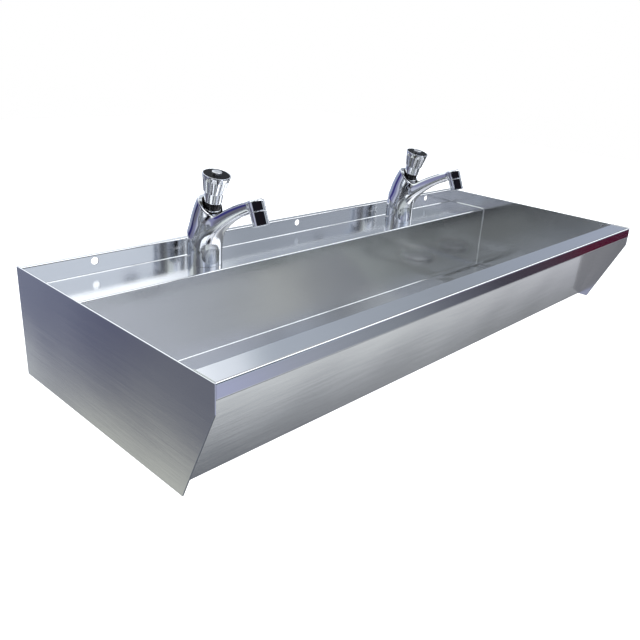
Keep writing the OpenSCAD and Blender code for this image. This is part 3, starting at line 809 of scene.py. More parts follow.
END_DROP, END_SLANT, WELD_R = 34, 57, 1.1
end_outline = rounded([(WALL_Y, RIM_Z), (FRONT_Y, RIM_Z),
                       (FRONT_Y, RIM_Z - END_DROP),
                       (FRONT_Y + END_SLANT, BOTTOM_Z), (WALL_Y, BOTTOM_Z)],
                      0.9, 5, closed=True)
for side, x0, x1 in (("left", -OUTER_X, -INNER_X),
                     ("right", INNER_X, OUTER_X)):
    panel = plate(side + "_plate", end_outline, x0, x1, panel_steel)
    dress(panel, "trough", "stainless_steel", side + "_end_panel")


def fillet(name, line, x, into, radius, normals):
    """A bead in the corner between a plate at x and the sheet's face."""
    rings = []
    for t in np.linspace(0, math.pi / 2, 6):
        along, up = 1 - math.sin(t), 1 - math.cos(t)
        rings.append([(x + into * radius * along, *(p + n * radius * up))
                      for p, n in zip(line, normals)])
    rings.append([(x, *p) for p in line])
    points = [p for ring in rings for p in ring]
    count = len(line)
    faces = grid_faces(len(rings), count, True, False)
    ends = [tuple(i * count + k for i in range(len(rings)))
            for k in (0, count - 1)]
    return mesh_piece(name, points, faces + ends, sheet_steel)


# From the fold at the upstand's foot to the start of the rim's front fold
inside = face_side[1 + ARC_POINTS:-2 * ARC_POINTS]
steps = np.gradient(inside, axis=0)
steps /= np.linalg.norm(steps, axis=1)[:, None]
out_of_sheet = np.stack([steps[:, 1], -steps[:, 0]], -1)
for side, x, into in (("left", -INNER_X, 1), ("right", INNER_X, -1)):
    bead = fillet(side + "_weld", inside, x, into, WELD_R, out_of_sheet)
    dress(bead, "trough", "stainless_steel")
print("weld runs through", len(inside), "points")

# %% [markdown]
# ## The tap's cast body
#
# The body is cast brass, polished and chromed. It has no hard lines: an oval
# column leans into the valve socket, and the spout grows out of it. So it is
# modelled as a field rather than as faces. Each limb is a distance from a
# curved spine, the limbs are melted together, and a skin is drawn where the
# field is zero. The skin's normals come from the field itself, because in a
# mirror finish the smallest unevenness of a mesh would show.

# %% The field of the tap body
LEAN = math.radians(13)
NOZZLE_LEAN = math.radians(22)
VALVE_Y = 2.2
NOZZLE_TOP = np.array([-116.8, 121.0])
NOZZLE_DOWN = np.array([-math.sin(NOZZLE_LEAN), -math.cos(NOZZLE_LEAN)])
HEAD_R, HEAD_LONG, HEAD_SOFT = 12.0, 16.5, 4.0
RIM_ROLL, SPOUT_MELT, HEAD_MELT = 3.0, 16.0, 5.0
# Half widths across and along the limb, and how much they change
COLUMN_HALF, COLUMN_TAPER, COLUMN_H = (26.2, 27.6), (5.7, 8.1), 108
SPOUT_HALF, SPOUT_ROOT, SPOUT_CROWN = (9.6, 7.6), (14.4, 12.4), 2.7
COLUMN = np.array([(0, -14), (0, 36), (5.5, 68), (-31.0, 124.0)])
SPOUT_END = NOZZLE_TOP + NOZZLE_DOWN * HEAD_LONG / 2 + (2, 0)
RISE = math.radians(23)
SPOUT = np.array([(-2, 40), SPOUT_END + 76 * np.array(
    [math.cos(RISE), -math.sin(RISE)]), SPOUT_END])


def on_axis(a, r=0.0, angle=0.0):
    """A point in the tap's frame, from a place along the valve axis."""
    x, y = r * np.cos(angle), r * np.sin(angle)
    c, s = math.cos(LEAN), math.sin(LEAN)
    return np.stack(np.broadcast_arrays(
        x, VALVE_Y + c * y - s * a, s * y + c * a), -1)


def tilted_up(tilt):
    return np.array([0, -math.sin(tilt), math.cos(tilt)])


RIM_SLOPE = (on_axis(96.5), tilted_up(LEAN + math.radians(38)))
RIM_FLAT = (on_axis(104.5), tilted_up(LEAN))


def bezier(points, u):
    points = [np.outer(np.ones_like(u), p) for p in points]
    while len(points) > 1:
        points = [a + (b - a) * u[:, None] for a, b in zip(points, points[1:])]
    return points[0]


class Spine:
    """A curve in Y and Z; gives the nearest place on it and the side."""

    def __init__(self, points, steps=160):
        self.points = points
        self.first = np.diff(points, axis=0) * (len(points) - 1)
        self.second = np.diff(self.first, axis=0) * (len(points) - 2)
        u = np.linspace(0, 1, steps)
        line = bezier(points, u)
        self.y, self.z = np.arange(-140, 40, 2.0), np.arange(-10, 134, 2.0)
        y, z = np.meshgrid(self.y, self.z, indexing="ij")
        gap = ((y[..., None] - line[:, 0]) ** 2
               + (z[..., None] - line[:, 1]) ** 2)
        self.guess = u[np.argmin(gap, -1)]

    def near(self, y, z):
        """Place along the spine, signed distance across it, overshoot."""
        i, j = [np.clip(((v - known[0]) / 2 + 0.5).astype(int), 0,
                        len(known) - 1)
                for v, known in ((y, self.y), (z, self.z))]
        u = self.guess[i, j].ravel()
        spot = np.stack([y.ravel(), z.ravel()], -1)
        for _ in range(4):
            off = bezier(self.points, u) - spot
            way, bend = bezier(self.first, u), bezier(self.second, u)
            pull = (off * way).sum(-1)
            stiff = np.maximum((way * way + off * bend).sum(-1),
                               0.2 * (way * way).sum(-1))
            u = np.clip(u - pull / stiff, 0, 1)
        way = bezier(self.first, u)
        way /= np.linalg.norm(way, axis=1)[:, None]
        off = spot - bezier(self.points, u)
        across = off[:, 0] * way[:, 1] - off[:, 1] * way[:, 0]
        over = (off * way).sum(-1)
        return [a.reshape(y.shape) for a in (u, across, over)]


column_spine, spout_spine = Spine(COLUMN), Spine(SPOUT)
print("spout ends at y, z =", SPOUT_END.round(1))


def oval(x, e, half_w, half_e, power=2.0):
    """Distance to an oval, exact enough near its outline."""
    a, b = np.abs(x) / half_w, np.abs(e) / half_e
    level = (a ** power + b ** power) ** (1 / power)
    slope = np.sqrt((a ** (power - 1) / half_w) ** 2
                    + (b ** (power - 1) / half_e) ** 2)
    slope = slope / np.maximum(level, 1e-6) ** (power - 1)
    return (level - 1) / np.maximum(slope, 1e-6)


def melt(a, b, width):
    """The union of two fields with a fillet of this width."""
    h = np.maximum(width - np.abs(a - b), 0) / width
    return np.minimum(a, b) - h ** 3 * width / 6


def trim(a, b, width):
    """What is inside both fields, with a rolled edge of this width."""
    return -melt(-a, -b, width)


def flatten(y, z):
    """What depends on Y and Z only, worked out once for a whole slice."""
    return column_spine.near(y, z), spout_spine.near(y, z)


def body_field(x, y, z, flat):
    """The tap body: column, spout and nozzle head melted together."""
    (u, e, over), (v, g, past) = flat
    soft = np.clip((z - 1) / COLUMN_H, 0, 1) ** 1.9
    column = oval(x, e, *[half - taper * soft for half, taper
                          in zip(COLUMN_HALF, COLUMN_TAPER)])
    for (_, at_y, at_z), (_, up_y, up_z) in (RIM_SLOPE, RIM_FLAT):
        above = (y - at_y) * up_y + (z - at_z) * up_z
        column = trim(column, above, RIM_ROLL)
    shrink = np.clip(1 - v, 0, 1) ** 2.6
    wide, deep = [root * shrink for root in SPOUT_ROOT]
    crown = SPOUT_CROWN * np.sin(np.pi * np.clip((v - 0.2) / 0.8, 0, 1))
    spout = oval(x, g, SPOUT_HALF[0] + wide,
                 SPOUT_HALF[1] + np.where(g > 0, deep + crown, wide),
                 np.where(g > 0, 3.2, 2.5))
    spout = np.maximum(spout, np.abs(past) - 0.5)
    body = melt(column, spout, SPOUT_MELT)
    y, z = y - NOZZLE_TOP[0], z - NOZZLE_TOP[1]
    along = y * NOZZLE_DOWN[0] + z * NOZZLE_DOWN[1]
    across = y * NOZZLE_DOWN[1] - z * NOZZLE_DOWN[0]
    wall = np.hypot(x, across) - HEAD_R + HEAD_SOFT
    top = HEAD_SOFT - along
    head = np.hypot(np.maximum(wall, 0), np.maximum(top, 0)) + np.minimum(
        np.maximum(wall, top), 0) - HEAD_SOFT
    return melt(body, head, HEAD_MELT)


# %% The skin of a field
def skin_of(low, high, step):
    """Surface nets: one point in each cell that the surface crosses."""
    axes = [np.arange(a, b + step, step) for a, b in zip(low, high)]
    y, z = np.meshgrid(axes[1], axes[2], indexing="ij")
    flat = flatten(y, z)
    value = np.stack([body_field(x, y, z, flat) for x in axes[0]])
    inside = value < 0
    shape = np.array(value.shape) - 1
    total, count = np.zeros((*shape, 3)), np.zeros(shape)
    for axis in range(3):
        ahead = np.roll(value, -1, axis)
        crossed = inside != (ahead < 0)
        gap = np.where(crossed, value - ahead, 1)
        share = np.where(crossed, value / gap, 0)
        for corner in ((0, 0), (0, 1), (1, 0), (1, 1)):
            place = np.insert(corner, axis, 0)
            pick = tuple(slice(o, o + n) for o, n in zip(place, shape))
            total += crossed[pick][..., None] * place
            total[..., axis] += crossed[pick] * share[pick]
            count += crossed[pick]
    used = count > 0
    index = -np.ones(shape, int)
    index[used] = np.arange(used.sum())
    points = np.array(low) + step * (
        np.argwhere(used) + total[used] / count[used][:, None])
    faces = []
    for axis in range(3):
        b, c = (axis + 1) % 3, (axis + 2) % 3
        at = np.argwhere(inside != np.roll(inside, -1, axis))
        at = at[(at < shape).all(1) & (at[:, b] > 0) & (at[:, c] > 0)]
        ring = []
        for back_b, back_c in ((0, 0), (1, 0), (1, 1), (0, 1)):
            cell = at.copy()
            cell[:, b] -= back_b
            cell[:, c] -= back_c
            ring.append(index[tuple(cell.T)])
        ring = np.stack(ring, -1)
        away = ~inside[tuple(at.T)]
        ring[away] = ring[away][:, ::-1]
        faces += ring.tolist()
    return points, faces


def value_at(points):
    x, y, z = points.T
    return body_field(x, y, z, flatten(y, z))


def slope_at(points, h=0.04):
    """The field's gradient at each point."""
    steps = h * np.eye(3)
    return np.stack([(value_at(points + step) - value_at(points - step))
                     / (2 * h) for step in steps], -1)


def settle(points, rounds=4):
    """Moves points onto the surface along its slope."""
    for _ in range(rounds):
        slope = slope_at(points)
        size = np.maximum((slope ** 2).sum(-1), 1e-3)
        pull = np.clip(value_at(points), -1, 1) / size
        points = points - slope * pull[:, None]
    return points


SKIN_LOW, SKIN_HIGH, CELL = (-28.0, -134.0, -1.0), (28, 32, 126), 1.0
points, faces = skin_of(SKIN_LOW, SKIN_HIGH, CELL)
points = settle(points)
print("skin of the body:", len(points), "points,", len(faces), "faces")

# %% [markdown]
# ## Trimming the skin
#
# The casting is machined where other parts meet it: the foot is faced flat,
# the socket is bored and its rim cut on a slope, high at the back, and the
# nozzle head is faced and bored. So the skin is cut by planes, and each
# opening gets a rolled edge, a flat face and the start of its bore.

# %% Trimming and closing
FOOT_EDGE, HEAD_EDGE, BORE_EASE = 0.5, 0.6, 0.3
# The head's cut reaches this far back; openings have more points than this
HEAD_REACH, SMALL_LOOP = 25, 20
FOOT = (np.array([0, 0, 0.1]), np.array([0, 0, -1.0]))
HEAD = (np.array([0, *(NOZZLE_TOP + NOZZLE_DOWN * HEAD_LONG)]),
        np.array([0, *NOZZLE_DOWN]))


def loops_of(mesh):
    """The open boundaries of a mesh, each as an ordered list of points."""
    ahead = {}
    for edge in mesh.edges:
        if len(edge.link_faces) == 1:
            loop = edge.link_loops[0]
            ahead[loop.link_loop_next.vert.index] = loop.vert.index
    while ahead:
        start, here = ahead.popitem()
        ring = [start]
        while here != start:
            ring.append(here)
            here = ahead.pop(here)
        yield ring


def round_end(ring, plane, edge, bores):
    """Rolled edge, face and stepped bore from a round opening of the skin;
    bores are radii and depths."""
    at, up = plane
    side = np.cross(up, (1, 0, 0))
    inward = np.cross(up, np.roll(ring, -1, 0) - np.roll(ring, 1, 0))
    inward /= np.linalg.norm(inward, axis=1)[:, None]
    inward *= np.sign(((ring.mean(0) - ring) * inward).sum(-1).mean())
    rings = [ring]
    for t in np.linspace(0, math.pi / 2, 6)[1:]:
        rings.append(ring + inward * edge * (1 - math.cos(t))
                     + up * edge * math.sin(t))
    angle = np.arctan2((ring - at) @ side, (ring - at)[:, 0])
    spoke = np.outer(np.cos(angle), (1, 0, 0)) + np.outer(np.sin(angle), side)
    low = 0
    for radius, depth in bores:
        bore = at + radius * spoke
        out = rings[-1] - bore
        out -= np.outer(out @ up, up)
        out /= np.linalg.norm(out, axis=1)[:, None]
        rings += [bore + out * BORE_EASE - up * low,
                  bore - up * (low + BORE_EASE), bore - up * depth]
        low = depth
    rings.append(ring.mean(0) - up * low + 0.02 * out)
    return rings


def trimmed(points, faces):
    """The skin cut at foot and head: points, faces and open rings."""
    mesh, work = work_on("skin", points, faces)
    bpy.data.meshes.remove(mesh)
    for (at, up), edge in ((FOOT, FOOT_EDGE), (HEAD, HEAD_EDGE)):
        if up is HEAD[1]:
            near = [f for f in work.faces
                    if f.calc_center_median()[1] < NOZZLE_TOP[0] + HEAD_REACH]
            geometry = near + list({v for f in near for v in f.verts})
            geometry += list({e for f in near for e in f.edges})
        else:
            geometry = work.verts[:] + work.edges[:] + work.faces[:]
        bmesh.ops.bisect_plane(
            work, geom=geometry, dist=0.02, clear_outer=True,
            plane_co=at - up * edge, plane_no=up)
    loose = [v for v in work.verts if not v.link_faces]
    bmesh.ops.delete(work, geom=loose, context="VERTS")
    work.verts.index_update()
    places = np.array([v.co[:] for v in work.verts])
    skin_faces = [tuple(v.index for v in f.verts) for f in work.faces]
    rings = [places[ring] for ring in loops_of(work)
             if len(ring) > SMALL_LOOP]
    work.free()
    return places, skin_faces, rings


skin_points, skin_faces, openings = trimmed(points, faces)
FOOT_BORES, HEAD_BORES = [(22.0, 1.0), (11.0, 9.0)], [(8.4, 8.0)]
ends = [round_end(ring, FOOT, FOOT_EDGE, FOOT_BORES) if ring[0, 2] < 10
        else round_end(ring, HEAD, HEAD_EDGE, HEAD_BORES) for ring in openings]
print("openings:", [len(ring) for ring in openings])
all_points, all_faces = [skin_points], list(skin_faces)
base = len(skin_points)
for rings in ends:
    count = len(rings[0])
    all_points += rings
    all_faces += [tuple(base + k for k in f)
                  for f in grid_faces(len(rings), count)]
    base += count * len(rings)
casting = mesh_piece("casting", np.vstack(all_points), all_faces,
                     SLOT_FINISH["tap_chrome"])
BORE_R, BORE_LOW, BORE_HIGH = 16.2, 86, 118
bore_tool, bore_faces = turned(np.array(
    rectangle(0, BORE_R, BORE_LOW, BORE_HIGH + 12), float), 128)
tilt = Matrix.Translation((0, VALVE_Y, 0)) @ Matrix.Rotation(LEAN, 4, "X")
cut(casting, [mesh_piece("bore", bore_tool, bore_faces,
                         SLOT_FINISH["tap_chrome"], tilt)])
print("casting:", len(casting.data.vertices), "points")


# %% Normals of the casting
def vectors_of(items, name):
    """A vector of each item, in millimetres."""
    flat = np.empty(len(items) * 3)
    items.foreach_get(name, flat)
    return flat.reshape(-1, 3) / MM


def true_normals(mesh):
    """Gives every corner on the skin the field's own normal."""
    on_skin = np.abs(value_at(vectors_of(mesh.polygons, "center"))) < 0.06
    slope = slope_at(vectors_of(mesh.vertices, "co"))
    slope /= np.maximum(np.linalg.norm(slope, axis=1), 1e-9)[:, None]
    own = np.zeros((len(mesh.loops), 3))
    for face, smooth in zip(mesh.polygons, on_skin):
        if smooth:
            for i in face.loop_indices:
                own[i] = slope[mesh.loops[i].vertex_index]
    mesh.shade_smooth()
    mesh.normals_split_custom_set(own.tolist())
    return on_skin.sum()


casting.modifiers.clear()
print("smooth faces:", true_normals(casting.data))
# The faces inside the bore take the painted-shade metal, which darkens the socket's
# hollow.
casting.data.materials.append(BORE_PAINTED_SHADE)
for face in casting.data.polygons:
    low = tilt.inverted() @ (face.center / MM)
    if (math.hypot(low.x, low.y) < BORE_R + 0.05
            and BORE_LOW - 0.1 < low.z < BORE_HIGH):
        face.material_index = 1
print("bored faces:", sum(f.material_index for f in casting.data.polygons))
for side, x in TAPS.items():
    body = add(side + "_casting", casting.data.copy())
    body.data.transform(
        Matrix.Translation(Vector((x, TAP_Y, LEDGE_Z)) * MM))
    dress(body, "trough", "tap_chrome", side + "_tap_body")
bpy.data.objects.remove(casting)

# %% [markdown]
# ## Knob, sleeve and nozzle
#
# These parts are turned on a lathe, so a profile and a radius that changes
# with the angle are enough. The knob's skirt has twelve flutes that give
# wet fingers a hold; a milling cutter makes them, and polishing softens
# their edges. Twelve cylinders could be cut away instead, but then the soft
# edges would have to be bevelled one by one.

# %% Knob
FLUTES, FLUTE_R, FLUTE_DEEP, FLUTE_TOP, FLUTE_SOFT = 12, 6.0, 1.6, 142.9, 0.4
SKIRT_LOW, SKIRT_TOP = (15.8, 117.5), (20.8, 143.4)


def fluted(angle, radius, height):
    """Wide scoops round the skirt that end in pointed arches under the rim."""
    pitch = 2 * math.pi / FLUTES
    turn = (angle % pitch) - pitch / 2
    run = (height - SKIRT_LOW[1]) / (SKIRT_TOP[1] - SKIRT_LOW[1])
    skirt = SKIRT_LOW[0] + (SKIRT_TOP[0] - SKIRT_LOW[0]) * run
    arch = np.clip((FLUTE_TOP - height) / 6.0, 0, 1)
    c = skirt + FLUTE_R - FLUTE_DEEP * arch ** 1.6 + FLUTE_SOFT * (arch == 0)
    inside = np.maximum(FLUTE_R ** 2 - (c * np.sin(turn)) ** 2, 0)
    scoop = np.where(inside > 0, c * np.cos(turn) - np.sqrt(inside), 99.0)
    h = np.maximum(FLUTE_SOFT - np.abs(radius - scoop), 0) / FLUTE_SOFT
    soft = np.minimum(radius, scoop) - h ** 2 * FLUTE_SOFT / 4
    skirted = (radius > 14.6) & (height > SKIRT_LOW[1] - 0.1)
    return np.where(skirted, np.maximum(soft, 14.0), radius)


def foot_place(x):
    return Matrix.Translation((x, TAP_Y, LEDGE_Z))


def valve_place(x):
    return (Matrix.Translation((x, TAP_Y + VALVE_Y, LEDGE_Z))
            @ Matrix.Rotation(LEAN, 4, "X"))


def nozzle_place(x):
    return (Matrix.Translation((x, TAP_Y + NOZZLE_TOP[0],
                                LEDGE_Z + NOZZLE_TOP[1]))
            @ Matrix.Rotation(math.pi - NOZZLE_LEAN, 4, "X"))


def filled(profile, step=0.8):
    """More points on the long runs of a profile, for the flutes."""
    line = [profile[0]]
    for a, b in zip(profile, profile[1:]):
        parts = max(1, int(np.linalg.norm(b - a) / step))
        line += [a + (b - a) * i / parts for i in range(1, parts + 1)]
    return np.array(line)


knob_profile = filled(rounded([
    (2.1, 138.9), (12.65, 138.9), (12.65, 102.4), (13.3, 102.4),
    (14.0, 117.5), SKIRT_LOW, SKIRT_TOP, (20.8, 145.5),
    (19.25, 145.5), (19.25, 143.9), (3.8, 143.9), (3.8, 140.9),
    (2.1, 140.9)], 0.45, 4))
points, faces = turned(knob_profile, 288, fluted, closed=True)
for side, x in TAPS.items():
    knob = mesh_piece(side + "_knob_cap", points, faces,
                      SLOT_FINISH["tap_chrome"], valve_place(x), 50)
    dress(knob, side + "_knob", "tap_chrome", side + "_push_knob")
print("knob:", len(points), "points")

# %% [markdown]
# ### The knob's top and the socket ring
#
# A black plate lies in the knob's top with a raised bright disc in it, and a
# chromed ring closes the valve socket. Each could be a bevelled cylinder. As
# a small outline with rounded corners, turned like the knob, the plate also
# gets its faint slope and the disc its crown.

# %% Parts turned about the valve axis
def lathe(name, node, corners, radius, slot, place, body="trough", around=96,
          shape=None, sharp=40):
    """A turned piece in place of a node; radius rounds its corners."""
    profile = rounded(corners, radius, 4, closed=True)
    made, quads = turned(profile, around, shape, closed=True)
    piece = mesh_piece(name, made, quads, SLOT_FINISH[slot], place, sharp)
    return dress(piece, body, slot, node)


def on_taps(name, node, corners, radius, slot, at=valve_place, **more):
    """The same turned piece on both taps."""
    for side, x in TAPS.items():
        lathe(side + "_" + name, side + "_" + node, corners, radius, slot,
              at(x), **more)


for side, x in TAPS.items():
    place, knob = valve_place(x), side + "_knob"
    lathe(side + "_top_plate", knob + "_plate",
          [(7.6, 143.9), (19.2, 143.9), (19.2, 145.4), (7.6, 145.5)],
          0.3, "black_plastic", place, knob)
    lathe(side + "_button", knob + "_disc",
          [(0.01, 143.9), (7.5, 143.9), (7.5, 149.0), (6.6, 149.5),
           (3.5, 149.7), (0.01, 149.7)], 0.4, "disc_metal", place, knob)
on_taps("socket_ring", "retaining_ring", rectangle(12.4, 13.5, 86, 92), 0.6,
        "tap_chrome")
print("turned parts on the valve axis done")

# %% [markdown]
# ### Return springs
#
# Under each knob a wound steel spring lifts it again. A spring winder lays
# the end coils flat, so that they sit square. A screw modifier would wind the
# coil, but not those ends, so the wire is a round section carried along a
# helix whose climb is held back there.

# %% Springs
SPRING_LOW, SPRING_HIGH, SPRING_R, WIRE_R, PRESS = 112.0, 138.9, 8.4, 0.8, 8.0
TURNS, FLAT_TURN, WIRE_SIDES = 6, 0.6, 12
turn = np.linspace(0, TURNS, TURNS * 32 + 1)[:, None]
climb = np.clip((turn - FLAT_TURN) / (TURNS - 2 * FLAT_TURN), 0, 1)
height = SPRING_LOW + WIRE_R + climb * (SPRING_HIGH - SPRING_LOW - 2 * WIRE_R)
section = np.linspace(0, 2 * math.pi, WIRE_SIDES, endpoint=False)[None, :]
reach = SPRING_R + WIRE_R * np.cos(section)
coil = np.stack([reach * np.cos(2 * math.pi * turn),
                 reach * np.sin(2 * math.pi * turn),
                 height + WIRE_R * np.sin(section)], -1).reshape(-1, 3)
for side, x in TAPS.items():
    place = valve_place(x)
    spring = mesh_piece(side + "_coil_spring", coil,
                        capped(len(turn), WIRE_SIDES),
                        SLOT_FINISH["spring_steel"], place)
    dress(spring, "trough", "spring_steel", side + "_return_spring")
    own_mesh(spring)
print("springs:", TURNS, "turns each")

# %% [markdown]
# ### Nozzle
#
# The nozzle is a turned cap that screws into the spout's head, with a thin
# step where the two meet. A bevelled cylinder would show the same from
# outside. An outline turned on the lathe has the hollow too, where the water
# comes out.

# %% Nozzle
on_taps("spout_tip", "nozzle_shell", [
    (6.5, 8.5), (8.2, 8.5), (8.2, 16.5), (10.6, 16.5), (10.6, 17.2),
    (12.0, 17.2), (12.0, 37.2), (9.3, 37.4), (9.3, 21.1), (6.5, 21.1)],
    0.9, "tap_chrome", nozzle_place, around=128)
print("nozzle tips done")

# %% [markdown]
# ## Outlet tray and waste
#
# The floor runs into a shallow tray that is pressed in one stroke, so all
# its bends are soft. Sculpting could give them, but a grid of points whose
# depth is one soft step times another is even and easy to change. A flanged
# waste with a perforated grid is clamped through it. The waste can't be seen
# in the photograph; it is a usual one.

# %% Outlet tray
WASTE, WASTE_HOLE_R = Vector((425.0, -209.0, -149.5)), 24.1
TRAY_DROP, TRAY_SLOPE, TRAY_SIDE, TRAY_GRID = 3.0, 60.0, 12.0, 71


def ease_in(t):
    t = np.clip(t, 0, 1)
    return t * t * (3 - 2 * t)


def tray_depth(x, y):
    """How far the pressed tray lies below the floor, as a share."""
    ends = ease_in((x - TRAY_X[0]) / TRAY_SLOPE) * ease_in(
        (TRAY_X[1] - x) / TRAY_SIDE)
    sides = ease_in((y - TRAY_Y[0]) / TRAY_SIDE) * ease_in(
        (TRAY_Y[1] - y) / TRAY_SIDE)
    return ends * sides


def tray_mesh():
    """The pressed sheet: a grid of points above and one below."""
    x, y = np.meshgrid(np.linspace(*TRAY_X, TRAY_GRID),
                       np.linspace(*TRAY_Y, TRAY_GRID), indexing="ij")
    top = FLOOR_Z_MM - TRAY_DROP * tray_depth(x, y)
    sheets = [np.stack([x, y, top - under], -1).reshape(-1, 3)
              for under in (0, SHEET)]
    low = TRAY_GRID ** 2
    quads = grid_faces(TRAY_GRID, TRAY_GRID, False, False)
    faces = quads + [tuple(k + low for k in f) for f in quads]
    at = np.arange(low).reshape(TRAY_GRID, TRAY_GRID)
    rim = [*at[:, 0], *at[-1, 1:], *at[-2::-1, -1], *at[0, -2:0:-1]]
    for a, b in zip(rim, rim[1:] + rim[:1]):
        faces.append((int(a), int(b), int(b + low), int(a + low)))
    return np.vstack(sheets), faces


tray = mesh_piece("pressed_tray", *tray_mesh(), tray_steel)
cut(tray, [hole(WASTE - Vector((0, 0, SHEET)), WASTE_HOLE_R, (0, 0, 1))])
smoothed(tray.data)
dress(tray, "trough", "stainless_steel", "outlet_tray")
print("tray:", len(tray.data.vertices), "points")

# %% [markdown]
# ### Threads, nuts and perforated discs
#
# A thread could be a ridge swept round the tube, but it would have to be
# joined to it. Here a thread and a nut are turned forms too: their radius
# changes with the angle. The grid's holes are drilled, with a small flare at
# each face that eases their edges.

# %% Threads, nuts and perforated discs
def thread(pitch, deep, low, high):
    """A radius function with a helical thread between two heights."""
    def shape(angle, radius, height):
        phase = (height / pitch - angle / (2 * math.pi)) % 1
        tooth = np.abs(2 * phase - 1)
        fade = np.clip((height - low) / pitch, 0, 1) * np.clip(
            (high - height) / pitch, 0, 1)
        outer = radius > radius.max() - 0.6
        return np.where(outer, radius - deep * tooth * fade, radius)
    return shape


def hexagon(across_flats, low, high, least=0.0):
    """A radius function for a nut with chamfered corners."""
    def shape(angle, radius, height):
        turn = (angle + math.pi / 6) % (math.pi / 3) - math.pi / 6
        flat = across_flats / 2 / np.cos(turn)
        away = np.minimum(height - low, high - height)
        corner = across_flats / 2 * 1.04 + 1.6 * np.maximum(away, 0)
        outer = radius > across_flats / 2 - 0.1
        return np.where(outer & (radius > least),
                        np.minimum(flat, corner), radius)
    return shape


def threaded(name, bore, radius, low, high, pitch, slot, place, nodes,
             thread_low, thread_high, deep=0.5, around=72):
    """A tube with a helical thread on its outside."""
    outside = [(radius, z)
               for z in np.arange(low + 0.4, high - 0.4, pitch / 6)]
    profile = np.array([(bore, high), (bore, low), (radius - 0.4, low),
                        *outside, (radius, high - 0.4), (radius - 0.4, high)])
    made, quads = turned(profile, around,
                         thread(pitch, deep, thread_low, thread_high), True)
    piece = mesh_piece(name, made, quads, SLOT_FINISH[slot], place, 50)
    return dress(piece, "trough", slot, *nodes)


def perforated(name, node, corners, drills, radius, thick, slot, place):
    """A turned disc with a pattern of holes."""
    made, quads = turned(rounded(corners, 0.25, 3, True), 96, None, True)
    disc = mesh_piece(name, made, quads, SLOT_FINISH[slot])
    tool, tool_faces = turned(drill(radius, thick, 0.15, 1), 32)
    faces = [tuple(n * len(tool) + k for k in f)
             for n in range(len(drills)) for f in tool_faces]
    points = np.vstack([tool + (x, y, corners[0][1]) for x, y in drills])
    cut(disc, [mesh_piece("drills", points, faces, sheet_steel)])
    smoothed(disc.data)
    placed(disc.data, place)
    return dress(disc, "trough", slot, node)


def circle_of(count, radius):
    turn = 2 * math.pi / count
    return [(radius * math.cos(i * turn), radius * math.sin(i * turn))
            for i in range(count)]


GRID_HOLES = circle_of(8, 11.88) + circle_of(14, 21.06)
JET_HOLES = circle_of(6, 3.2) + circle_of(12, 6.6)
print("holes in the grid:", len(GRID_HOLES), "jets:", len(JET_HOLES))

# %% Waste
at_waste = Matrix.Translation(WASTE)
lathe("waste_flange", "waste_body",
      [(20, -2), (24, -2), (24, 2), (35, 2), (35, 2.8), (32.5, 5), (27.3, 5),
       (27.3, 3.5), (20, 3.5)], 0.5, "waste_chrome", at_waste, around=128)
threaded("waste_tail", 20, 23.9, -60, -1.9, 2.3, "waste_chrome", at_waste, (),
         -59, -3)
for i in range(3):
    bar = plate("waste_arm_%d" % i,
                rounded(rectangle(-20.6, 20.6, -3, 1), 0.5, 3, True),
                -1.25, 1.25, SLOT_FINISH["waste_chrome"], 0.3)
    turn = Matrix.Rotation(math.radians(60 * i + 90), 4, "Z")
    placed(bar.data, at_waste @ turn)
    dress(bar, "trough", "waste_chrome")
perforated("waste_strainer", "waste_grid",
           [(3.15, 3.5), (27, 3.5), (27, 4.9), (3.15, 5.0)],
           GRID_HOLES, 3, 1.5, "waste_chrome", at_waste)
lathe("waste_screw", "waste_grid_screw",
      [(0.01, -7), (3, -7), (3, 5), (6, 5), (4.8, 6.2), (2.7, 6.8),
       (0.01, 6.8)], 0.35, "waste_chrome", at_waste, around=64)
lathe("waste_gasket_top", "waste_top_seal",
      rectangle(WASTE_HOLE_R, 33, 0, 2), 0.5, "rubber", at_waste)
lathe("waste_gasket_low", "waste_bottom_seal",
      rectangle(WASTE_HOLE_R, 33, -3.5, -1.5), 0.5, "rubber", at_waste)
lathe("waste_slip_ring", "waste_slip_washer",
      rectangle(WASTE_HOLE_R, 32, -5, -3.5), 0.3, "nylon", at_waste)
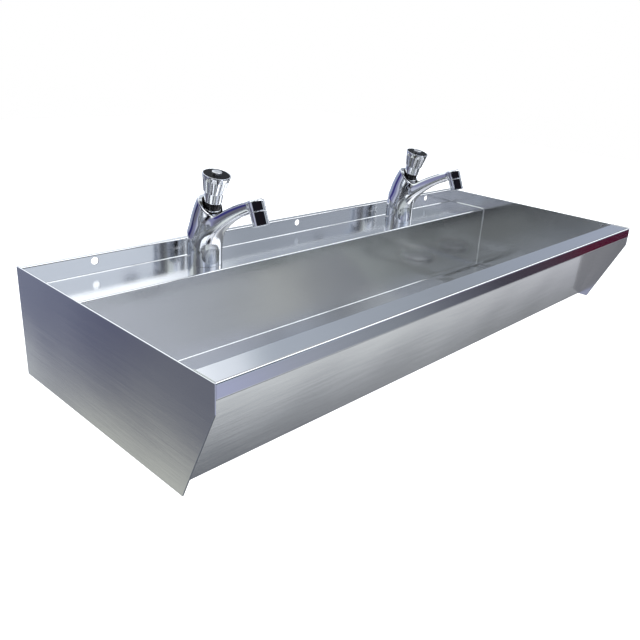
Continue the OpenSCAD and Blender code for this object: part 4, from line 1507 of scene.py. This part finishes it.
lathe("waste_nut", "waste_backnut",
      [(24.1, -15), (30, -15), (34.5, -14.9), (34.5, -7.2), (34.6, -7.0),
       (32, -5), (24.1, -5)], 0.2, "brass", at_waste, around=144,
      shape=hexagon(60, -15, -7, 29), sharp=30)
print("waste pieces done")

# %% [markdown]
# ## What holds each tap
#
# Under the ledge a threaded tail, a rubber and a steel washer and a brass
# nut clamp the tap. Inside the socket the dark sleeve of the timed valve
# carries the knob. Threads are drawn as real helices, since they are the
# only detail one sees from below.

# %% Tap fixings and valve
for side, x in TAPS.items():
    threaded(side + "_tail", 7, 10.48, -52, 11, 1.81, "brass", foot_place(x),
             [side + "_inlet_tail"], -51, 8, 0.45, 56)
    perforated(side + "_jets", side + "_flow_insert",
               rectangle(0.05, 9.1, 21.1, 34.4), JET_HOLES, 1, 13.3,
               "nylon", nozzle_place(x))
on_taps("foot_seal", "base_gasket", rectangle(11.5, 21.8, 0, 1), 0.3,
        "rubber", foot_place)
on_taps("clamp_rubber", "clamp_seal", rectangle(10.7, 19, -3.5, -1.5), 0.5,
        "rubber", foot_place)
on_taps("clamp_plate", "clamp_washer", rectangle(10.7, 19, -5.5, -3.5), 0.3,
        "plated_steel", foot_place)
on_taps("nut", "backnut",
        [(10.7, -14.5), (15, -14.5), (18.4, -14.4), (18.4, -5.6), (15, -5.5),
         (10.7, -5.5)], 0.2, "brass", foot_place, around=120,
        shape=hexagon(32, -14.5, -5.5), sharp=30)
on_taps("valve", "valve_cartridge", [
    (4.5, 112), (4.5, 56), (0.01, 56), (0.01, 45), (10.6, 45), (10.6, 78),
    (13.6, 78), (13.6, 86), (12.3, 86), (12.3, 99), (11.9, 99.2),
    (11.9, 99.8), (12.3, 100), (12.3, 112)], 0.3, "dark_plastic")
print("tap fixings done")

# %% [markdown]
# ## Sizes
#
# The CAD model's box and the dressed model's box are both printed. The
# dressed model has to stay inside the CAD model's box.

# %% Sizes and finish
model_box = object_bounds()
boxes = {"cad": [list(corner) for corner in cad_box],
         "model": [list(corner) for corner in model_box]}
print("cad box", boxes["cad"])
print("model box", boxes["model"])
